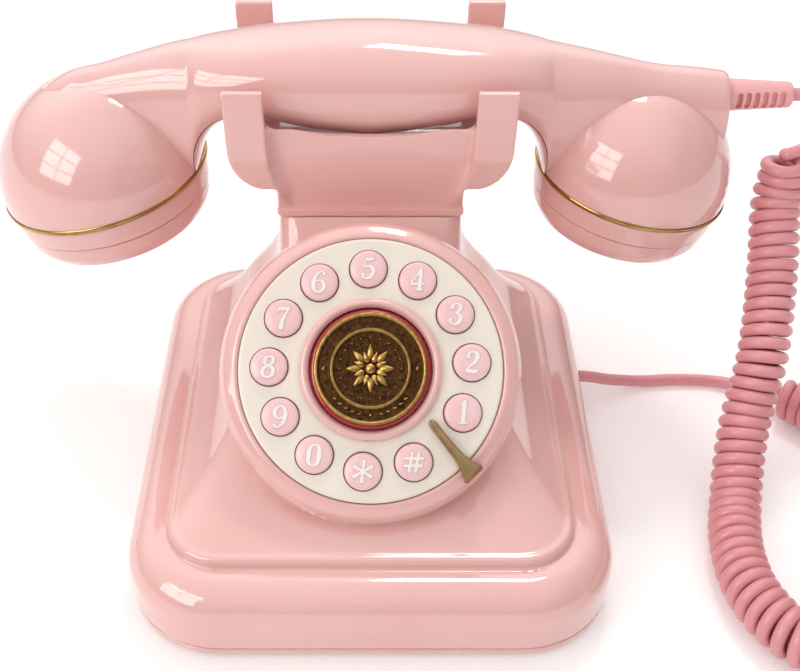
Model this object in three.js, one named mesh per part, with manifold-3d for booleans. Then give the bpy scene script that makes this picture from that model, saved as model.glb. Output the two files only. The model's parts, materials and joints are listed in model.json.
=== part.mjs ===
// A retro cradle telephone with a push-button "rotary look" dial, as an assembly of separate pieces.
// Millimetres, +Z up. The origin is the centre of the base plate's flat underside; the feet reach below it.
// Heights inside the file count from the surface the feet stand on, and the last lines move the whole down.
// The dial faces -Y, the handset lies along X, and the handset cord leaves on the +X side.
import * as THREE from "three";
import { mergeVertices } from "three/addons/utils/BufferGeometryUtils.js";
import Module from "manifold-3d";

const wasm = await Module();
wasm.setup();

// ---------------------------------------------------------------- driving dimensions
const GAP = 0.3; // clearance between pieces that touch
const WALL = 2.4; // moulded wall of the base housing
const FOOT_HEIGHT = 1.5;
const PLATE_THICK = 3;
const BASE = { halfWidth: 70.5, halfDepth: 79.3, corner: 28 };
const WALL_TOP_Z = 15.5; // where the skirt starts to round over
const LEDGE_Z = 25;
const SKIRT_ROUND = 9.5; // how far the skirt rounds inwards
const TIER = { halfWidth: 58.3, front: -66.6, back: 67, corner: 16, rise: 2.8 };
const NECK = { halfWidth: 27.6, front: 20, back: 65.6, corner: 6.5 };
const NECK_TOP_Z = 84;
const DIAL = { y: -29.5, z: 66, lift: 46, bezel: 42.9, lip: 37.3 }; // lift: its normal above level, degrees
const KEY = { ring: 28.4, radius: 5.2, hole: 5.75, first: 115.2, step: 29.1 }; // clock angles in degrees
const STOP = { angle: 135.5, reach: 22.6, lean: 1.7, half: 3 }; // the finger stop, between 1 and hash
const CRADLE_Y = 42.8; // the handset's axis lies above this line
const FORK = { outer: 41.7, inner: 30.2, frontTipZ: 127.7, rearTipZ: 130.8, frontY: 15.5, tipThick: 2.7 };
const DOMES = {
  receiver: { side: -1, x: 83.1, z: 85.4, radius: 32.4, tilt: 11.6 },
  transmitter: { side: 1, x: 81.6, z: 84.7, radius: 30.3, tilt: 11 },
};
const DOME_HEIGHT = 33;
const ARM_END_X = 107;
const HAND_WALL = 2.2;
const DOME_WALL = 3.2; // the handset's wall is thicker in the domes, where the seam's legs pass close by
const COIL_RADIUS = 8;
const LEAD_RADIUS = 2.05;

const rad = THREE.MathUtils.degToRad;
const V = (x, y, z) => new THREE.Vector3(x, y, z);

// ---------------------------------------------------------------- materials
const finish = (color, roughness, metalness = 0) =>
  new THREE.MeshStandardMaterial({ color, roughness, metalness });
const PINK = finish(0xecb8b4, 0.18);
const KEY_PINK = finish(0xf1bfc2, 0.3);
const CORD_PINK = finish(0xdc9aa3, 0.4);
const IVORY = finish(0xeae3d8, 0.3);
const RED = finish(0xa01420, 0.1);
const BRASS = finish(0xb08d4f, 0.25, 1);
const ANTIQUE = finish(0x5a4020, 0.45, 1);
const STEEL = finish(0xb8bcc0, 0.3, 1);
const RUBBER = finish(0x8a6f70, 0.8);
const BLACK = finish(0x202022, 0.5);
const BOARD = finish(0x1f5a35, 0.5);
const SILICONE = finish(0xd8d4cc, 0.7);

// ---------------------------------------------------------------- helpers
const solidOf = (geometry) => {
  const g = geometry.clone();
  for (const name of Object.keys(g.attributes)) if (name !== "position") g.deleteAttribute(name);
  const merged = mergeVertices(g, 1e-4);
  return new wasm.Manifold(
    new wasm.Mesh({
      numProp: 3,
      vertProperties: new Float32Array(merged.attributes.position.array),
      triVerts: new Uint32Array(merged.index.array),
    }),
  );
};

const geometryOf = (solid) => {
  const mesh = solid.getMesh();
  const g = new THREE.BufferGeometry();
  g.setAttribute("position", new THREE.BufferAttribute(new Float32Array(mesh.vertProperties), 3));
  g.setIndex(new THREE.BufferAttribute(new Uint32Array(mesh.triVerts), 1));
  g.computeVertexNormals();
  return g;
};

const join = (first, ...rest) => rest.reduce((a, b) => a.add(b), first);
const cut = (first, ...rest) => rest.reduce((a, b) => a.subtract(b), first);

// A closed skin over rings of equal point count, with a fan over each end.
function loft(rings) {
  const count = rings[0].length;
  const points = rings.flat();
  const middle = (ring) => ring.reduce((sum, p) => sum.add(p), V(0, 0, 0)).divideScalar(ring.length);
  points.push(middle(rings[0]), middle(rings.at(-1)));
  const index = [];
  for (let i = 0; i + 1 < rings.length; i++)
    for (let k = 0; k < count; k++) {
      const [a, b] = [i * count + k, i * count + ((k + 1) % count)];
      index.push(a, b, b + count, a, b + count, a + count);
    }
  const last = (rings.length - 1) * count;
  for (let k = 0; k < count; k++) {
    index.push(points.length - 2, (k + 1) % count, k);
    index.push(points.length - 1, last + k, last + ((k + 1) % count));
  }
  const g = new THREE.BufferGeometry().setFromPoints(points);
  g.setIndex(index);
  return solidOf(g);
}

// A profile of [radius, height] pairs turned about the Z axis.
const turned = (profile, segments = 40) =>
  solidOf(
    new THREE.LatheGeometry(
      profile.map(([r, h]) => new THREE.Vector2(r, h)),
      segments,
    ).rotateX(Math.PI / 2),
  );

const disc = (radius, low, high, segments = 24) =>
  turned([[0, low], [radius, low], [radius, high], [0, high]], segments);

const tube = (inner, outer, low, high, segments = 32) =>
  turned([[inner, low], [outer, low], [outer, high], [inner, high], [inner, low]], segments);

const block = (x0, x1, y0, y1, z0, z1) =>
  solidOf(
    new THREE.BoxGeometry(x1 - x0, y1 - y0, z1 - z0).translate((x0 + x1) / 2, (y0 + y1) / 2, (z0 + z1) / 2),
  );

const extruded = (shape, depth, curveSegments = 8) =>
  solidOf(new THREE.ExtrudeGeometry(shape, { depth, bevelEnabled: false, curveSegments }));

// A round bar along a smooth curve through the given points.
function bar(points, radius, steps, sides = 8) {
  const section = new THREE.Shape(
    Array.from({ length: sides }, (_, k) => {
      const a = (2 * Math.PI * k) / sides;
      return new THREE.Vector2(radius * Math.cos(a), radius * Math.sin(a));
    }),
  );
  const extrudePath = new THREE.CatmullRomCurve3(points, false, "centripetal");
  return solidOf(new THREE.ExtrudeGeometry(section, { steps, extrudePath, bevelEnabled: false }));
}

// Counter-clockwise rounded rectangle at height z, always with the same point count.
function roundedRing({ halfWidth, front, back, corner }, z, perCorner = 5) {
  const centres = [
    [halfWidth - corner, back - corner, 0],
    [-halfWidth + corner, back - corner, 90],
    [-halfWidth + corner, front + corner, 180],
    [halfWidth - corner, front + corner, 270],
  ];
  return centres.flatMap(([cx, cy, start]) =>
    Array.from({ length: perCorner + 1 }, (_, k) => {
      const a = rad(start + (90 * k) / perCorner);
      return V(cx + corner * Math.cos(a), cy + corner * Math.sin(a), z);
    }),
  );
}

const inset = (s, d) => ({
  halfWidth: s.halfWidth - d,
  front: s.front + d,
  back: s.back - d,
  corner: Math.max(s.corner - d, 0.8),
});

const moved = (solid, x, y, z) => solid.translate([x, y, z]);

// Seven round holes about the Z axis: one in the middle and six around it.
const holePattern = (radius, low, high) => [
  disc(radius, low, high, 8),
  ...[0, 1, 2, 3, 4, 5].map((k) => {
    const a = (k * Math.PI) / 3;
    return moved(disc(radius, low, high, 8), 7 * Math.cos(a), 7 * Math.sin(a), 0);
  }),
];

// A value that runs smoothly through [x, value] pairs.
function through(pairs) {
  const last = pairs.length - 1;
  const slope = (i) => {
    const [before, after] = [pairs[Math.max(i - 1, 0)], pairs[Math.min(i + 1, last)]];
    return (after[1] - before[1]) / (after[0] - before[0]);
  };
  return (x) => {
    const at = THREE.MathUtils.clamp(x, pairs[0][0], pairs[last][0]);
    const i = pairs.findIndex((p, k) => k > 0 && at <= p[0]) - 1;
    const [[x0, low], [x1, high]] = [pairs[i], pairs[i + 1]];
    const t = (at - x0) / (x1 - x0);
    const bend = (x1 - x0) * t * (1 - t) * ((1 - t) * slope(i) - t * slope(i + 1));
    return low + (high - low) * t * t * (3 - 2 * t) + bend;
  };
}

const phone = new THREE.Group();
const dial = new THREE.Group(); // local +Z is the dial's normal and local +Y runs up its face
dial.position.set(0, DIAL.y, DIAL.z);
dial.rotation.x = rad(90 - DIAL.lift);
phone.add(dial);
dial.updateMatrix();

const toDialFrame = (solid) => solid.transform(Array.from(dial.matrix.elements));

function add(name, solid, material, parent = phone) {
  const mesh = new THREE.Mesh(geometryOf(solid), material);
  mesh.name = name;
  parent.add(mesh);
  return mesh;
}

// ---------------------------------------------------------------- base housing
const skirt = {
  halfWidth: BASE.halfWidth,
  front: -BASE.halfDepth,
  back: BASE.halfDepth,
  corner: BASE.corner,
};

// The flares that sweep the plateau up into the neck: half width, front, back and corner against height.
const sideFlare = through([
  [27.8, 56.4], [30, 53], [34, 47.5], [38, 43.6], [42, 40.3], [47, 35.4], [52, 31.8], [58, 29.4], [65, 28.2],
  [73, 27.6], [85, NECK.halfWidth],
]);
const frontFlare = through([
  [27.8, -64.7], [30, -58], [34, -47], [38, -38], [45, -25], [55, -10], [65, 2], [75, 11], [82, 17],
  [85, NECK.front],
]);
const backFlare = through([
  [27.8, 65.2], [31, 64], [38, 63], [45, 63], [60, 64.6], [73, 65.5], [85, NECK.back],
]);
const cornerFlare = through([[27.8, 14.4], [40, 11], [60, 8], [85, NECK.corner]]);

const bodySection = (z) => ({
  halfWidth: sideFlare(z),
  front: frontFlare(z),
  back: backFlare(z),
  corner: cornerFlare(z),
});

// The housing's skin, or with a wall thickness the coarser skin of the space inside it.
function housingRings(thick, lowZ, perCorner) {
  const rings = [];
  const ring = (section, z) => rings.push(roundedRing(inset(section, thick), z, perCorner));
  ring(inset(skirt, 0.4), lowZ);
  ring(skirt, 11);
  for (const turn of [0, 25, 50, 90]) {
    const a = rad(turn);
    const height = LEDGE_Z - WALL_TOP_Z - thick;
    ring(inset(skirt, (SKIRT_ROUND - thick / 2) * (1 - Math.cos(a))), WALL_TOP_Z + height * Math.sin(a));
  }
  ring(TIER, LEDGE_Z - thick);
  ring(inset(TIER, 0.5), LEDGE_Z + TIER.rise * 0.75 - thick);
  const foot = LEDGE_Z + TIER.rise;
  for (const up of [0, 0.04, 0.1, 0.18, 0.3, 0.45, 0.65, 1]) {
    const z = foot + (NECK_TOP_Z - foot) * up;
    ring(bodySection(z), z - thick * (1 - up));
  }
  return rings;
}

const SCREW_SPOTS = [
  [-58.2, -67],
  [58.2, -67],
  [-58.2, 67],
  [58.2, 67],
];
const PLATE_TOP = FOOT_HEIGHT + PLATE_THICK;
const JACK = { y: 33, z: 8.2, halfWidth: 4.6, halfHeight: 3.1 };
const RINGER = { x: -36, z: 12, halfSlot: 5 };
const LINE_JACK = { x: 30, z: 11, halfHeight: 4 };

function housing() {
  const outer = loft(housingRings(0, PLATE_TOP + 0.1, 5));
  const cavityRings = housingRings(WALL, PLATE_TOP - 5, 2);
  cavityRings.push(roundedRing(inset(NECK, WALL), NECK_TOP_Z + 5, 2));
  const cavity = loft(cavityRings);
  // The drum that carries the dial: its face falls away outside the lip.
  const drum = toDialFrame(
    turned(
      [
        [0, -34], [DIAL.bezel - 2, -34], [DIAL.bezel - 0.7, -16], [DIAL.bezel, -5],
        [DIAL.bezel - 0.4, -3.5], [DIAL.bezel - 1.6, -1.3], [DIAL.lip + 1, -0.2], [0, -0.2],
      ],
      48,
    ),
  );
  const drumInside = toDialFrame(
    turned([[0, -46], [30, -46], [35.6, -24], [35.6, -2], [0, -2]], 32),
  );
  const drumMouth = toDialFrame(disc(DIAL.lip, -2.8, 5, 48));
  const floorLimit = block(-100, 100, -100, 100, -20, LEDGE_Z - 6);
  const shell = cut(outer.add(drum.subtract(floorLimit)), cavity, drumInside.subtract(floorLimit), drumMouth);
  const bosses = SCREW_SPOTS.map(([x, y]) => moved(disc(4.2, PLATE_TOP + 0.1, LEDGE_Z - 7, 10), x, y, 0));
  const pilots = SCREW_SPOTS.map(([x, y]) => moved(disc(1.75, 0, 16.6, 8), x, y, 0));
  const switchRib = block(-26.2, 26.2, 35, 51, 70, 73);
  const jackMouth = block(
    BASE.halfWidth - 8, BASE.halfWidth + 5,
    JACK.y - JACK.halfWidth, JACK.y + JACK.halfWidth,
    JACK.z - JACK.halfHeight, JACK.z + JACK.halfHeight,
  );
  const lineMouth = block(
    LINE_JACK.x - 6, LINE_JACK.x + 6,
    BASE.halfDepth - 8, BASE.halfDepth + 5,
    LINE_JACK.z - LINE_JACK.halfHeight, LINE_JACK.z + LINE_JACK.halfHeight,
  );
  const ringerSlot = block(
    RINGER.x - RINGER.halfSlot, RINGER.x + RINGER.halfSlot,
    BASE.halfDepth - 8, BASE.halfDepth + 5, RINGER.z - 1.6, RINGER.z + 1.6,
  );
  const halfSlot = STOP.half + 0.5;
  const stopSlot = toDialFrame(
    block(-halfSlot, halfSlot, DIAL.lip - 1, DIAL.lip + 3.8, -2.6, 3).rotate([0, 0, -STOP.angle]),
  );
  return cut(join(shell, ...bosses, switchRib), ...pilots, jackMouth, lineMouth, ringerSlot, stopSlot);
}
add("housing", housing(), PINK);

// ---------------------------------------------------------------- base plate, feet and screws
function basePlate() {
  const slab = loft([
    roundedRing({ halfWidth: 20, front: -30, back: 30, corner: 10 }, FOOT_HEIGHT),
    roundedRing(inset(skirt, 1.6), FOOT_HEIGHT),
    roundedRing(inset(skirt, 0.5), FOOT_HEIGHT + 1.1),
    roundedRing(inset(skirt, 0.4), PLATE_TOP),
  ]);
  const posts = [[-24, -14], [24, -14], [-24, 34], [24, 34]].map(([x, y]) =>
    moved(disc(3, PLATE_TOP - 0.5, PLATE_TOP + 4, 10), x, y, 0),
  );
  const holes = SCREW_SPOTS.flatMap(([x, y]) => [
    moved(disc(1.9, -1, 9, 12), x, y, 0),
    moved(disc(3.5, -1, FOOT_HEIGHT + 1.6, 12), x, y, 0),
  ]);
  const grille = holePattern(1.6, -1, 9).map((hole) => moved(hole, -30, -44, 0));
  return cut(join(slab, ...posts), ...holes, ...grille);
}
add("base_plate", basePlate(), PINK);

const FOOT_SPOTS = {
  front_left: [-43, -62],
  front_right: [43, -62],
  rear_left: [-43, 62],
  rear_right: [43, 62],
};
for (const [where, [x, y]] of Object.entries(FOOT_SPOTS)) {
  const foot = turned([[0, 0], [7.2, 0], [8, 0.6], [8, FOOT_HEIGHT], [0, FOOT_HEIGHT]], 20);
  add(`foot_${where}`, moved(foot, x, y, 0), RUBBER);
}

SCREW_SPOTS.forEach(([x, y], i) => {
  const screw = turned(
    [[0, FOOT_HEIGHT + 0.4], [0.7, FOOT_HEIGHT + 0.1], [3, FOOT_HEIGHT + 0.1], [3, FOOT_HEIGHT + 1.4],
      [1.4, FOOT_HEIGHT + 1.4], [1.4, 15], [0, 16.2]],
    12,
  );
  add(`base_screw_${i + 1}`, moved(screw, x, y, 0), STEEL);
});

// ---------------------------------------------------------------- inside the base
add("ballast_plate", block(-34, 34, -38, -22, PLATE_TOP + 0.1, PLATE_TOP + 6), STEEL);
function ringer() {
  return moved(
    turned([[0, 0], [13, 0], [13, 2], [9, 5], [9, 9], [0, 9]], 24), -30, -49.5, PLATE_TOP + 0.1,
  );
}
add("ringer_speaker", ringer().subtract(block(-60, 60, -38.4, -20, 0, 30)), BLACK);
add("main_board", block(-34, 34, -19, 39, PLATE_TOP + 4.1, PLATE_TOP + 5.7), BOARD);

const jackBox = (halfWidth, halfHeight) =>
  cut(
    block(-halfWidth, halfWidth, -6, 6, -halfHeight, halfHeight),
    block(-halfWidth + 1.3, halfWidth - 1.3, -3, 7, -halfHeight + 0.8, halfHeight - 0.8),
  );
const handsetJack = jackBox(JACK.halfWidth - GAP, JACK.halfHeight - GAP).rotate([0, 0, -90]);
add("handset_jack", moved(handsetJack, BASE.halfWidth - 7, JACK.y, JACK.z), BLACK);
const lineJack = jackBox(5.6, LINE_JACK.halfHeight - GAP);
add("line_jack", moved(lineJack, LINE_JACK.x, BASE.halfDepth - 7, LINE_JACK.z), BLACK);
const slider = join(block(-2, 2, -1, 3.4, -1.2, 1.2), block(-3.4, 3.4, -3, -1, -2.6, 2.6));
add("ringer_switch", moved(slider, RINGER.x, BASE.halfDepth - 2.2, RINGER.z), BLACK);

// ---------------------------------------------------------------- dial
const spot = (i) => {
  const a = rad(KEY.first - KEY.step * i);
  return [KEY.ring * Math.sin(a), KEY.ring * Math.cos(a)];
};
const KEY_NAMES = ["1", "2", "3", "4", "5", "6", "7", "8", "9", "0", "star", "hash"];

function dialPlate() {
  const ring = turned(
    [[19.2, -2.4], [36.9, -2.4], [36.9, 0.3], [36.3, 1], [19.2, 1.2], [19.2, -2.4]], 32,
  );
  const holes = KEY_NAMES.map((_, i) => moved(disc(KEY.hole, -5, 5, 12), ...spot(i), 0));
  return cut(ring, ...holes);
}
add("dial_plate", dialPlate(), IVORY, dial);

KEY_NAMES.forEach((name, i) => {
  const key = turned(
    [[0, -4.4], [6.2, -4.4], [6.2, -2.8], [KEY.radius, -2.8], [KEY.radius, 1.9], [KEY.radius - 0.7, 2.6],
      [0, 3]],
    12,
  );
  add(`key_${name}`, moved(key, ...spot(i), 0), KEY_PINK, dial);
});

add(
  "centre_ring",
  turned([[0, -4.6], [18.7, -4.6], [18.7, 1.5], [20, 1.5], [19.9, 2.6], [19.1, 3.5], [18, 3.5],
    [17.4, 2.8], [17.4, -3.3], [0, -3.3]], 28),
  PINK, dial,
);
add("indicator_ring", turned([[0, -3], [17.1, -3], [17.1, 2], [16.4, 3.3], [0, 3.3]], 28), RED, dial);
add(
  "medallion",
  turned([[0, 3.6], [15.8, 3.6], [15.8, 4.8], [15.1, 5.1], [14.4, 4.6], [11.4, 4.6], [10.7, 5], [10, 4.6],
    [5, 4.6], [4.4, 5.6], [0, 5.9]], 24),
  ANTIQUE, dial,
);

function fingerStop() {
  // Drawn pointing up the dial's face, then swung to its place. Its tip leans towards key 1.
  const [tip, lean, end] = [1, STOP.lean, DIAL.lip + 3.4];
  const blade = new THREE.Shape();
  blade.moveTo(-lean - tip, STOP.reach);
  blade.absarc(-lean, STOP.reach, tip, Math.PI, 2 * Math.PI, false);
  blade.quadraticCurveTo(0.4, 34, STOP.half, end);
  blade.lineTo(-STOP.half, end);
  blade.quadraticCurveTo(-1.5, 33, -lean - tip, STOP.reach);
  const plate = extruded(blade, 1.1, 6).translate([0, 0, 3.2]);
  const leg = block(-STOP.half, STOP.half, end - 1, end, -1.8, 4);
  return join(plate, leg).rotate([0, 0, -STOP.angle]);
}
add("finger_stop", fingerStop(), BRASS, dial);

function membrane() {
  const sheet = disc(33, -7.9, -7, 20);
  const dome = turned([[0, -7.5], [4.4, -7.5], [3, -6.2], [0, -6.2]], 6);
  const domes = KEY_NAMES.map((_, i) => moved(dome, ...spot(i), 0));
  return join(sheet, ...domes);
}
add("keypad_membrane", membrane(), SILICONE, dial);
add("keypad_board", disc(33, -9.8, -8.2, 20), BOARD, dial);

// ---------------------------------------------------------------- cradle and hook switch
const TROUGH_Z = 101.8;
const SADDLE_EDGE = { y: 21.3, z: 112.8 };

function cradle() {
  const front = new THREE.Shape();
  const half = (s) => [
    [s * (NECK.halfWidth + 0.5), 84.3], [s * (NECK.halfWidth + 0.5), 86.8], [s * NECK.halfWidth, 87.8],
    [s * NECK.halfWidth, 95.3], [s * 30.5, 95.3],
  ];
  front.moveTo(0, 84.3);
  half(1).forEach(([x, z]) => front.lineTo(x, z));
  front.absellipse(30.5, 109, 10.7, 13.7, -Math.PI / 2, 0, false);
  front.lineTo(FORK.outer, FORK.rearTipZ);
  front.lineTo(FORK.inner, FORK.rearTipZ);
  front.lineTo(FORK.inner - 0.3, 117);
  front.quadraticCurveTo(29.4, 113.9, 24, 113.9);
  front.quadraticCurveTo(12, 111.3, 0, 111.2);
  front.quadraticCurveTo(-12, 111.3, -24, 113.9);
  front.quadraticCurveTo(-29.4, 113.9, -FORK.inner + 0.3, 117);
  front.lineTo(-FORK.inner, FORK.rearTipZ);
  front.lineTo(-FORK.outer, FORK.rearTipZ);
  front.lineTo(-41.2, 109);
  front.absellipse(-30.5, 109, 10.7, 13.7, Math.PI, 1.5 * Math.PI, false);
  half(-1).reverse().forEach(([x, z]) => front.lineTo(x, z));
  const fromFront = extruded(front, 80, 6).rotate([90, 0, 0]).translate([0, 80, 0]);

  // The side outline: a U whose two walls are the prongs.
  const side = new THREE.Shape();
  const rise = SADDLE_EDGE.z - TROUGH_Z;
  const run = CRADLE_Y - SADDLE_EDGE.y;
  const radius = (run * run + rise * rise) / (2 * rise);
  const sweep = Math.asin(run / radius);
  const back = 2 * CRADLE_Y;
  side.moveTo(NECK.front - 0.5, 84.3);
  side.lineTo(NECK.front - 0.5, 86.8);
  side.lineTo(NECK.front, 87.8);
  side.quadraticCurveTo(16.2, 94, FORK.frontY + 0.3, 106);
  side.lineTo(FORK.frontY, FORK.frontTipZ);
  side.lineTo(FORK.frontY + FORK.tipThick, FORK.frontTipZ);
  side.quadraticCurveTo(19, 118, SADDLE_EDGE.y, SADDLE_EDGE.z);
  side.absarc(CRADLE_Y, TROUGH_Z + radius, radius, 1.5 * Math.PI - sweep, 1.5 * Math.PI + sweep, false);
  side.quadraticCurveTo(back - 19, 118, back - FORK.frontY - FORK.tipThick, FORK.rearTipZ);
  side.lineTo(back - FORK.frontY, FORK.rearTipZ);
  side.lineTo(back - FORK.frontY - 0.3, 106);
  side.quadraticCurveTo(back - 16.2, 94, back - NECK.front, 87.8);
  side.lineTo(back - NECK.front + 0.5, 86.8);
  side.lineTo(back - NECK.front + 0.5, 84.3);
  const fromSide = extruded(side, 100, 8).rotate([90, 0, 90]).translate([-50, 0, 0]);

  // The panel between the front prongs, and the one between the rear prongs, sit back from them.
  const recess = new THREE.Shape();
  recess.moveTo(-30.6, 10);
  recess.lineTo(30.6, 10);
  recess.lineTo(30.6, FORK.frontY);
  recess.quadraticCurveTo(27.5, 20, 24, 20);
  recess.lineTo(-24, 20);
  recess.quadraticCurveTo(-27.5, 20, -30.6, FORK.frontY);
  recess.lineTo(-30.6, 10);
  const recessSolid = extruded(recess, 60, 5).translate([0, 0, 88.6]);
  const rearRecess = recessSolid.mirror([0, 1, 0]).translate([0, back, 0]);

  // A roof of moulded thickness stays under the trough.
  const drum = disc(radius + WALL, -60, 60, 72).rotate([0, 90, 0]);
  const roof = moved(drum, 0, CRADLE_Y, TROUGH_Z + radius);
  const hollow = cut(block(-22.6, 22.6, 24.4, back - 24.4, 80, 112), roof);
  const plungerGuide = moved(tube(3.3, 5.2, 95, 103, 20), 0, CRADLE_Y, 0);
  const body = fromFront.intersect(fromSide);
  const shell = cut(body, recessSolid, rearRecess, hollow);
  const spigot = cut(
    loft([roundedRing(inset(NECK, WALL + 0.4), 81), roundedRing(inset(NECK, WALL + 0.4), 86)]),
    block(-22.6, 22.6, 24.4, back - 24.4, 70, 90),
  );
  const bore = moved(disc(3.3, 80, 120, 20), 0, CRADLE_Y, 0);
  return cut(join(shell, spigot, plungerGuide.intersect(block(-9, 9, 30, 56, 90, TROUGH_Z - 0.3))), bore);
}
add("cradle", cradle(), PINK);

function hookPlunger() {
  return moved(
    turned([[0, 79], [2.9, 79], [2.9, 86], [5.6, 86], [5.6, 88], [2.9, 88], [2.9, 100.6], [2, 101.6],
      [0, 101.9]], 20),
    0, CRADLE_Y, 0,
  );
}
add("hook_plunger", hookPlunger(), PINK);

function hookSpring() {
  const [turns, low, high, radius] = [5, 73.8, 85.2, 4.2];
  const points = Array.from({ length: turns * 8 + 1 }, (_, k) => {
    const a = (k * Math.PI) / 4;
    return V(radius * Math.cos(a), CRADLE_Y + radius * Math.sin(a), low + ((high - low) * k) / (turns * 8));
  });
  return bar(points, 0.45, turns * 8, 5);
}
add("hook_spring", hookSpring(), STEEL);
add(
  "hook_switch",
  join(
    block(8.5, 22, 39.5, 46, 73.1, 83),
    block(20, 21, 40, 45.5, 82.5, 85.2),
    block(5, 21, 41, 44.6, 84.6, 85.2),
  ),
  BLACK,
);

// ---------------------------------------------------------------- handset
const armTop = through([
  [-108, 98.5], [-104, 107.5], [-98, 114.6], [-90, 119.8], [-80, 122.4], [-70, 125.5], [-57, 129], [-43, 130.9],
  [-25, 132.9], [-10, 134.1], [3, 134.3], [15, 133.6], [29, 132.3], [41, 131.1], [55, 128.7], [69, 125.8],
  [85, 122.2], [98, 120.9], [108, 119.4],
]);
const armBottomHalf = through([
  [0, 103.3], [20, 106.3], [31, 109], [37, 109.3], [42, 108.2], [46, 105.8], [49, 102], [51, 97],
  [52.2, 91], [53, 86],
]);
const armDepth = through([
  [-108, 3], [-104, 5], [-97, 7.5], [-88, 8.8], [-80, 9.6], [-60, 12.8], [-45, 15.6], [-25, 18.6], [0, 19.5],
  [25, 18.6], [45, 15.6], [60, 12.8], [80, 9.6], [108, 9.4],
]);
const SQUARENESS = 2.3; // exponent of the arm's super-elliptical section
const HALF_STATIONS = [0, 13, 24, 31, 37, 42, 46, 49, 51, 52.2, 54, 60, 70, 80];
const LEFT_STATIONS = HALF_STATIONS.slice(1).reverse().map((x) => -x);
const ARM_STATIONS = [-ARM_END_X, -102, -96, -88, ...LEFT_STATIONS, ...HALF_STATIONS, ARM_END_X];

// The arm's bottom edge stays inside the dome wherever the two overlap. The space inside the arm keeps the
// same wall beside the steep legs as above the arch.
const armBottom = (x, thick) => (x < -92 ? 86 + (-92 - x) * 0.7 : armBottomHalf(Math.abs(x) - thick)) + thick;

function armRing(x, thick, count = 20) {
  const [top, low, deep] = [armTop(x) - thick, armBottom(x, thick), armDepth(x) - thick];
  const [middle, half] = [(top + low) / 2, (top - low) / 2];
  return Array.from({ length: count }, (_, k) => {
    const a = (2 * Math.PI * k) / count;
    const [c, s] = [Math.cos(a), Math.sin(a)];
    const power = 2 / SQUARENESS;
    return V(
      x,
      CRADLE_Y + deep * Math.sign(c) * Math.abs(c) ** power,
      middle + half * Math.sign(s) * Math.abs(s) ** power,
    );
  });
}

const arm = loft(ARM_STATIONS.map((x) => armRing(x, 0)));
const armSpace = loft(
  [-102, -88, -64, -56, -54, -51, -46, -38, -24, 0, 24, 38, 46, 51, 54, 56, 64, ARM_END_X - HAND_WALL].map(
    (x) => armRing(x, HAND_WALL, 12),
  ),
);

// Dome axes lean outwards at the top, so the caps face slightly inwards.
const onDome = (solid, { side, x, z, tilt }) =>
  solid.rotate([0, side * tilt, 0]).translate([side * x, CRADLE_Y, z]);

function domeProfile(radius, height, low) {
  const straight = 1;
  const arc = [0, 15, 30, 45, 60, 75].map((d) => [
    radius * Math.cos(rad(d)),
    straight + (height - straight) * Math.sin(rad(d)),
  ]);
  return [[0, low], [radius, low], ...arc, [0, height]];
}

const RING_HALF = 0.9;

// The underside shell's outline seen from the front: just above the arch and down both its legs.
function seamCutter(grow) {
  const right = [
    [20, 108.6], [34, 112], [38, 112.3], [43.9, 111.2], [47.3, 109.2], [50, 106.5], [51.8, 103.1],
    [52.5, 100.7], [53, 94.4], [53, 70],
  ];
  const s = new THREE.Shape();
  s.moveTo(0, 106.6 + grow);
  right.forEach(([x, z]) => s.lineTo(x + grow, z + grow));
  right.reverse().forEach(([x, z]) => s.lineTo(-x - grow, z + grow));
  return extruded(s, 80).rotate([90, 0, 0]).translate([0, 80, 0]);
}

function handsetShells() {
  const domes = Object.values(DOMES);
  const skins = domes.map((d) => onDome(turned(domeProfile(d.radius, DOME_HEIGHT, RING_HALF + 0.2), 32), d));
  const spaces = domes.map((d) =>
    onDome(turned(domeProfile(d.radius - DOME_WALL, DOME_HEIGHT - DOME_WALL, -12), 20), d),
  );
  // The arm ends a little above the domes' lower faces, so that nothing of it hangs below the ring planes.
  const mouths = domes.map((d) => onDome(disc(60, -60, RING_HALF + 0.4, 24), d));
  const whole = cut(join(cut(arm, ...mouths), ...skins), armSpace, ...spaces, bootHole());
  return {
    top: whole.subtract(seamCutter(GAP)),
    bottom: whole.intersect(seamCutter(0)),
  };
}

const BOOT = { z: 112.6, root: 4.78, tip: 3.75, length: 19.5, neck: 3, slots: 6 };

function bootHole() {
  return disc(BOOT.neck + GAP, -12, 12, 16).rotate([0, 90, 0]).translate([ARM_END_X, CRADLE_Y, BOOT.z]);
}

const shells = handsetShells();
const largest = (solid) => solid.decompose().sort((a, b) => b.volume() - a.volume())[0];
add("handset_top_shell", largest(shells.top), PINK);
add("handset_bottom_shell", largest(shells.bottom), PINK);

// The trim ring, collar and cap under a dome, each a little narrower than the one above.
for (const [name, dome] of Object.entries(DOMES)) {
  const r = dome.radius;
  const inner = r - 2.8;
  add(
    `${name}_trim_ring`,
    onDome(
      turned([[inner, -RING_HALF], [r - 0.4, -RING_HALF], [r + 0.1, -0.4], [r + 0.1, 0.4],
        [r - 0.4, RING_HALF], [inner, RING_HALF], [inner, -RING_HALF]], 32),
      dome,
    ),
    BRASS,
  );
  const collar = turned(
    [[r - 5.8, -7.6], [r - 1.1, -7.6], [r - 0.6, -3], [r - 0.6, -1.2], [r - 5.8, -1.2], [r - 5.8, -7.6]],
    28,
  );
  add(`${name}_collar`, onDome(collar, dome), PINK);
  const cap = turned(
    [[0, -15.4], [r - 11, -15.8], [r - 6.2, -16.5], [r - 4, -15.8], [r - 2.6, -12.5], [r - 1.8, -7.9],
      [r - 7.4, -7.9], [r - 7.4, -13], [0, -13]],
    28,
  );
  add(`${name}_cap`, onDome(cut(cap, ...holePattern(1.5, -20, 0)), dome), PINK);
}
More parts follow.
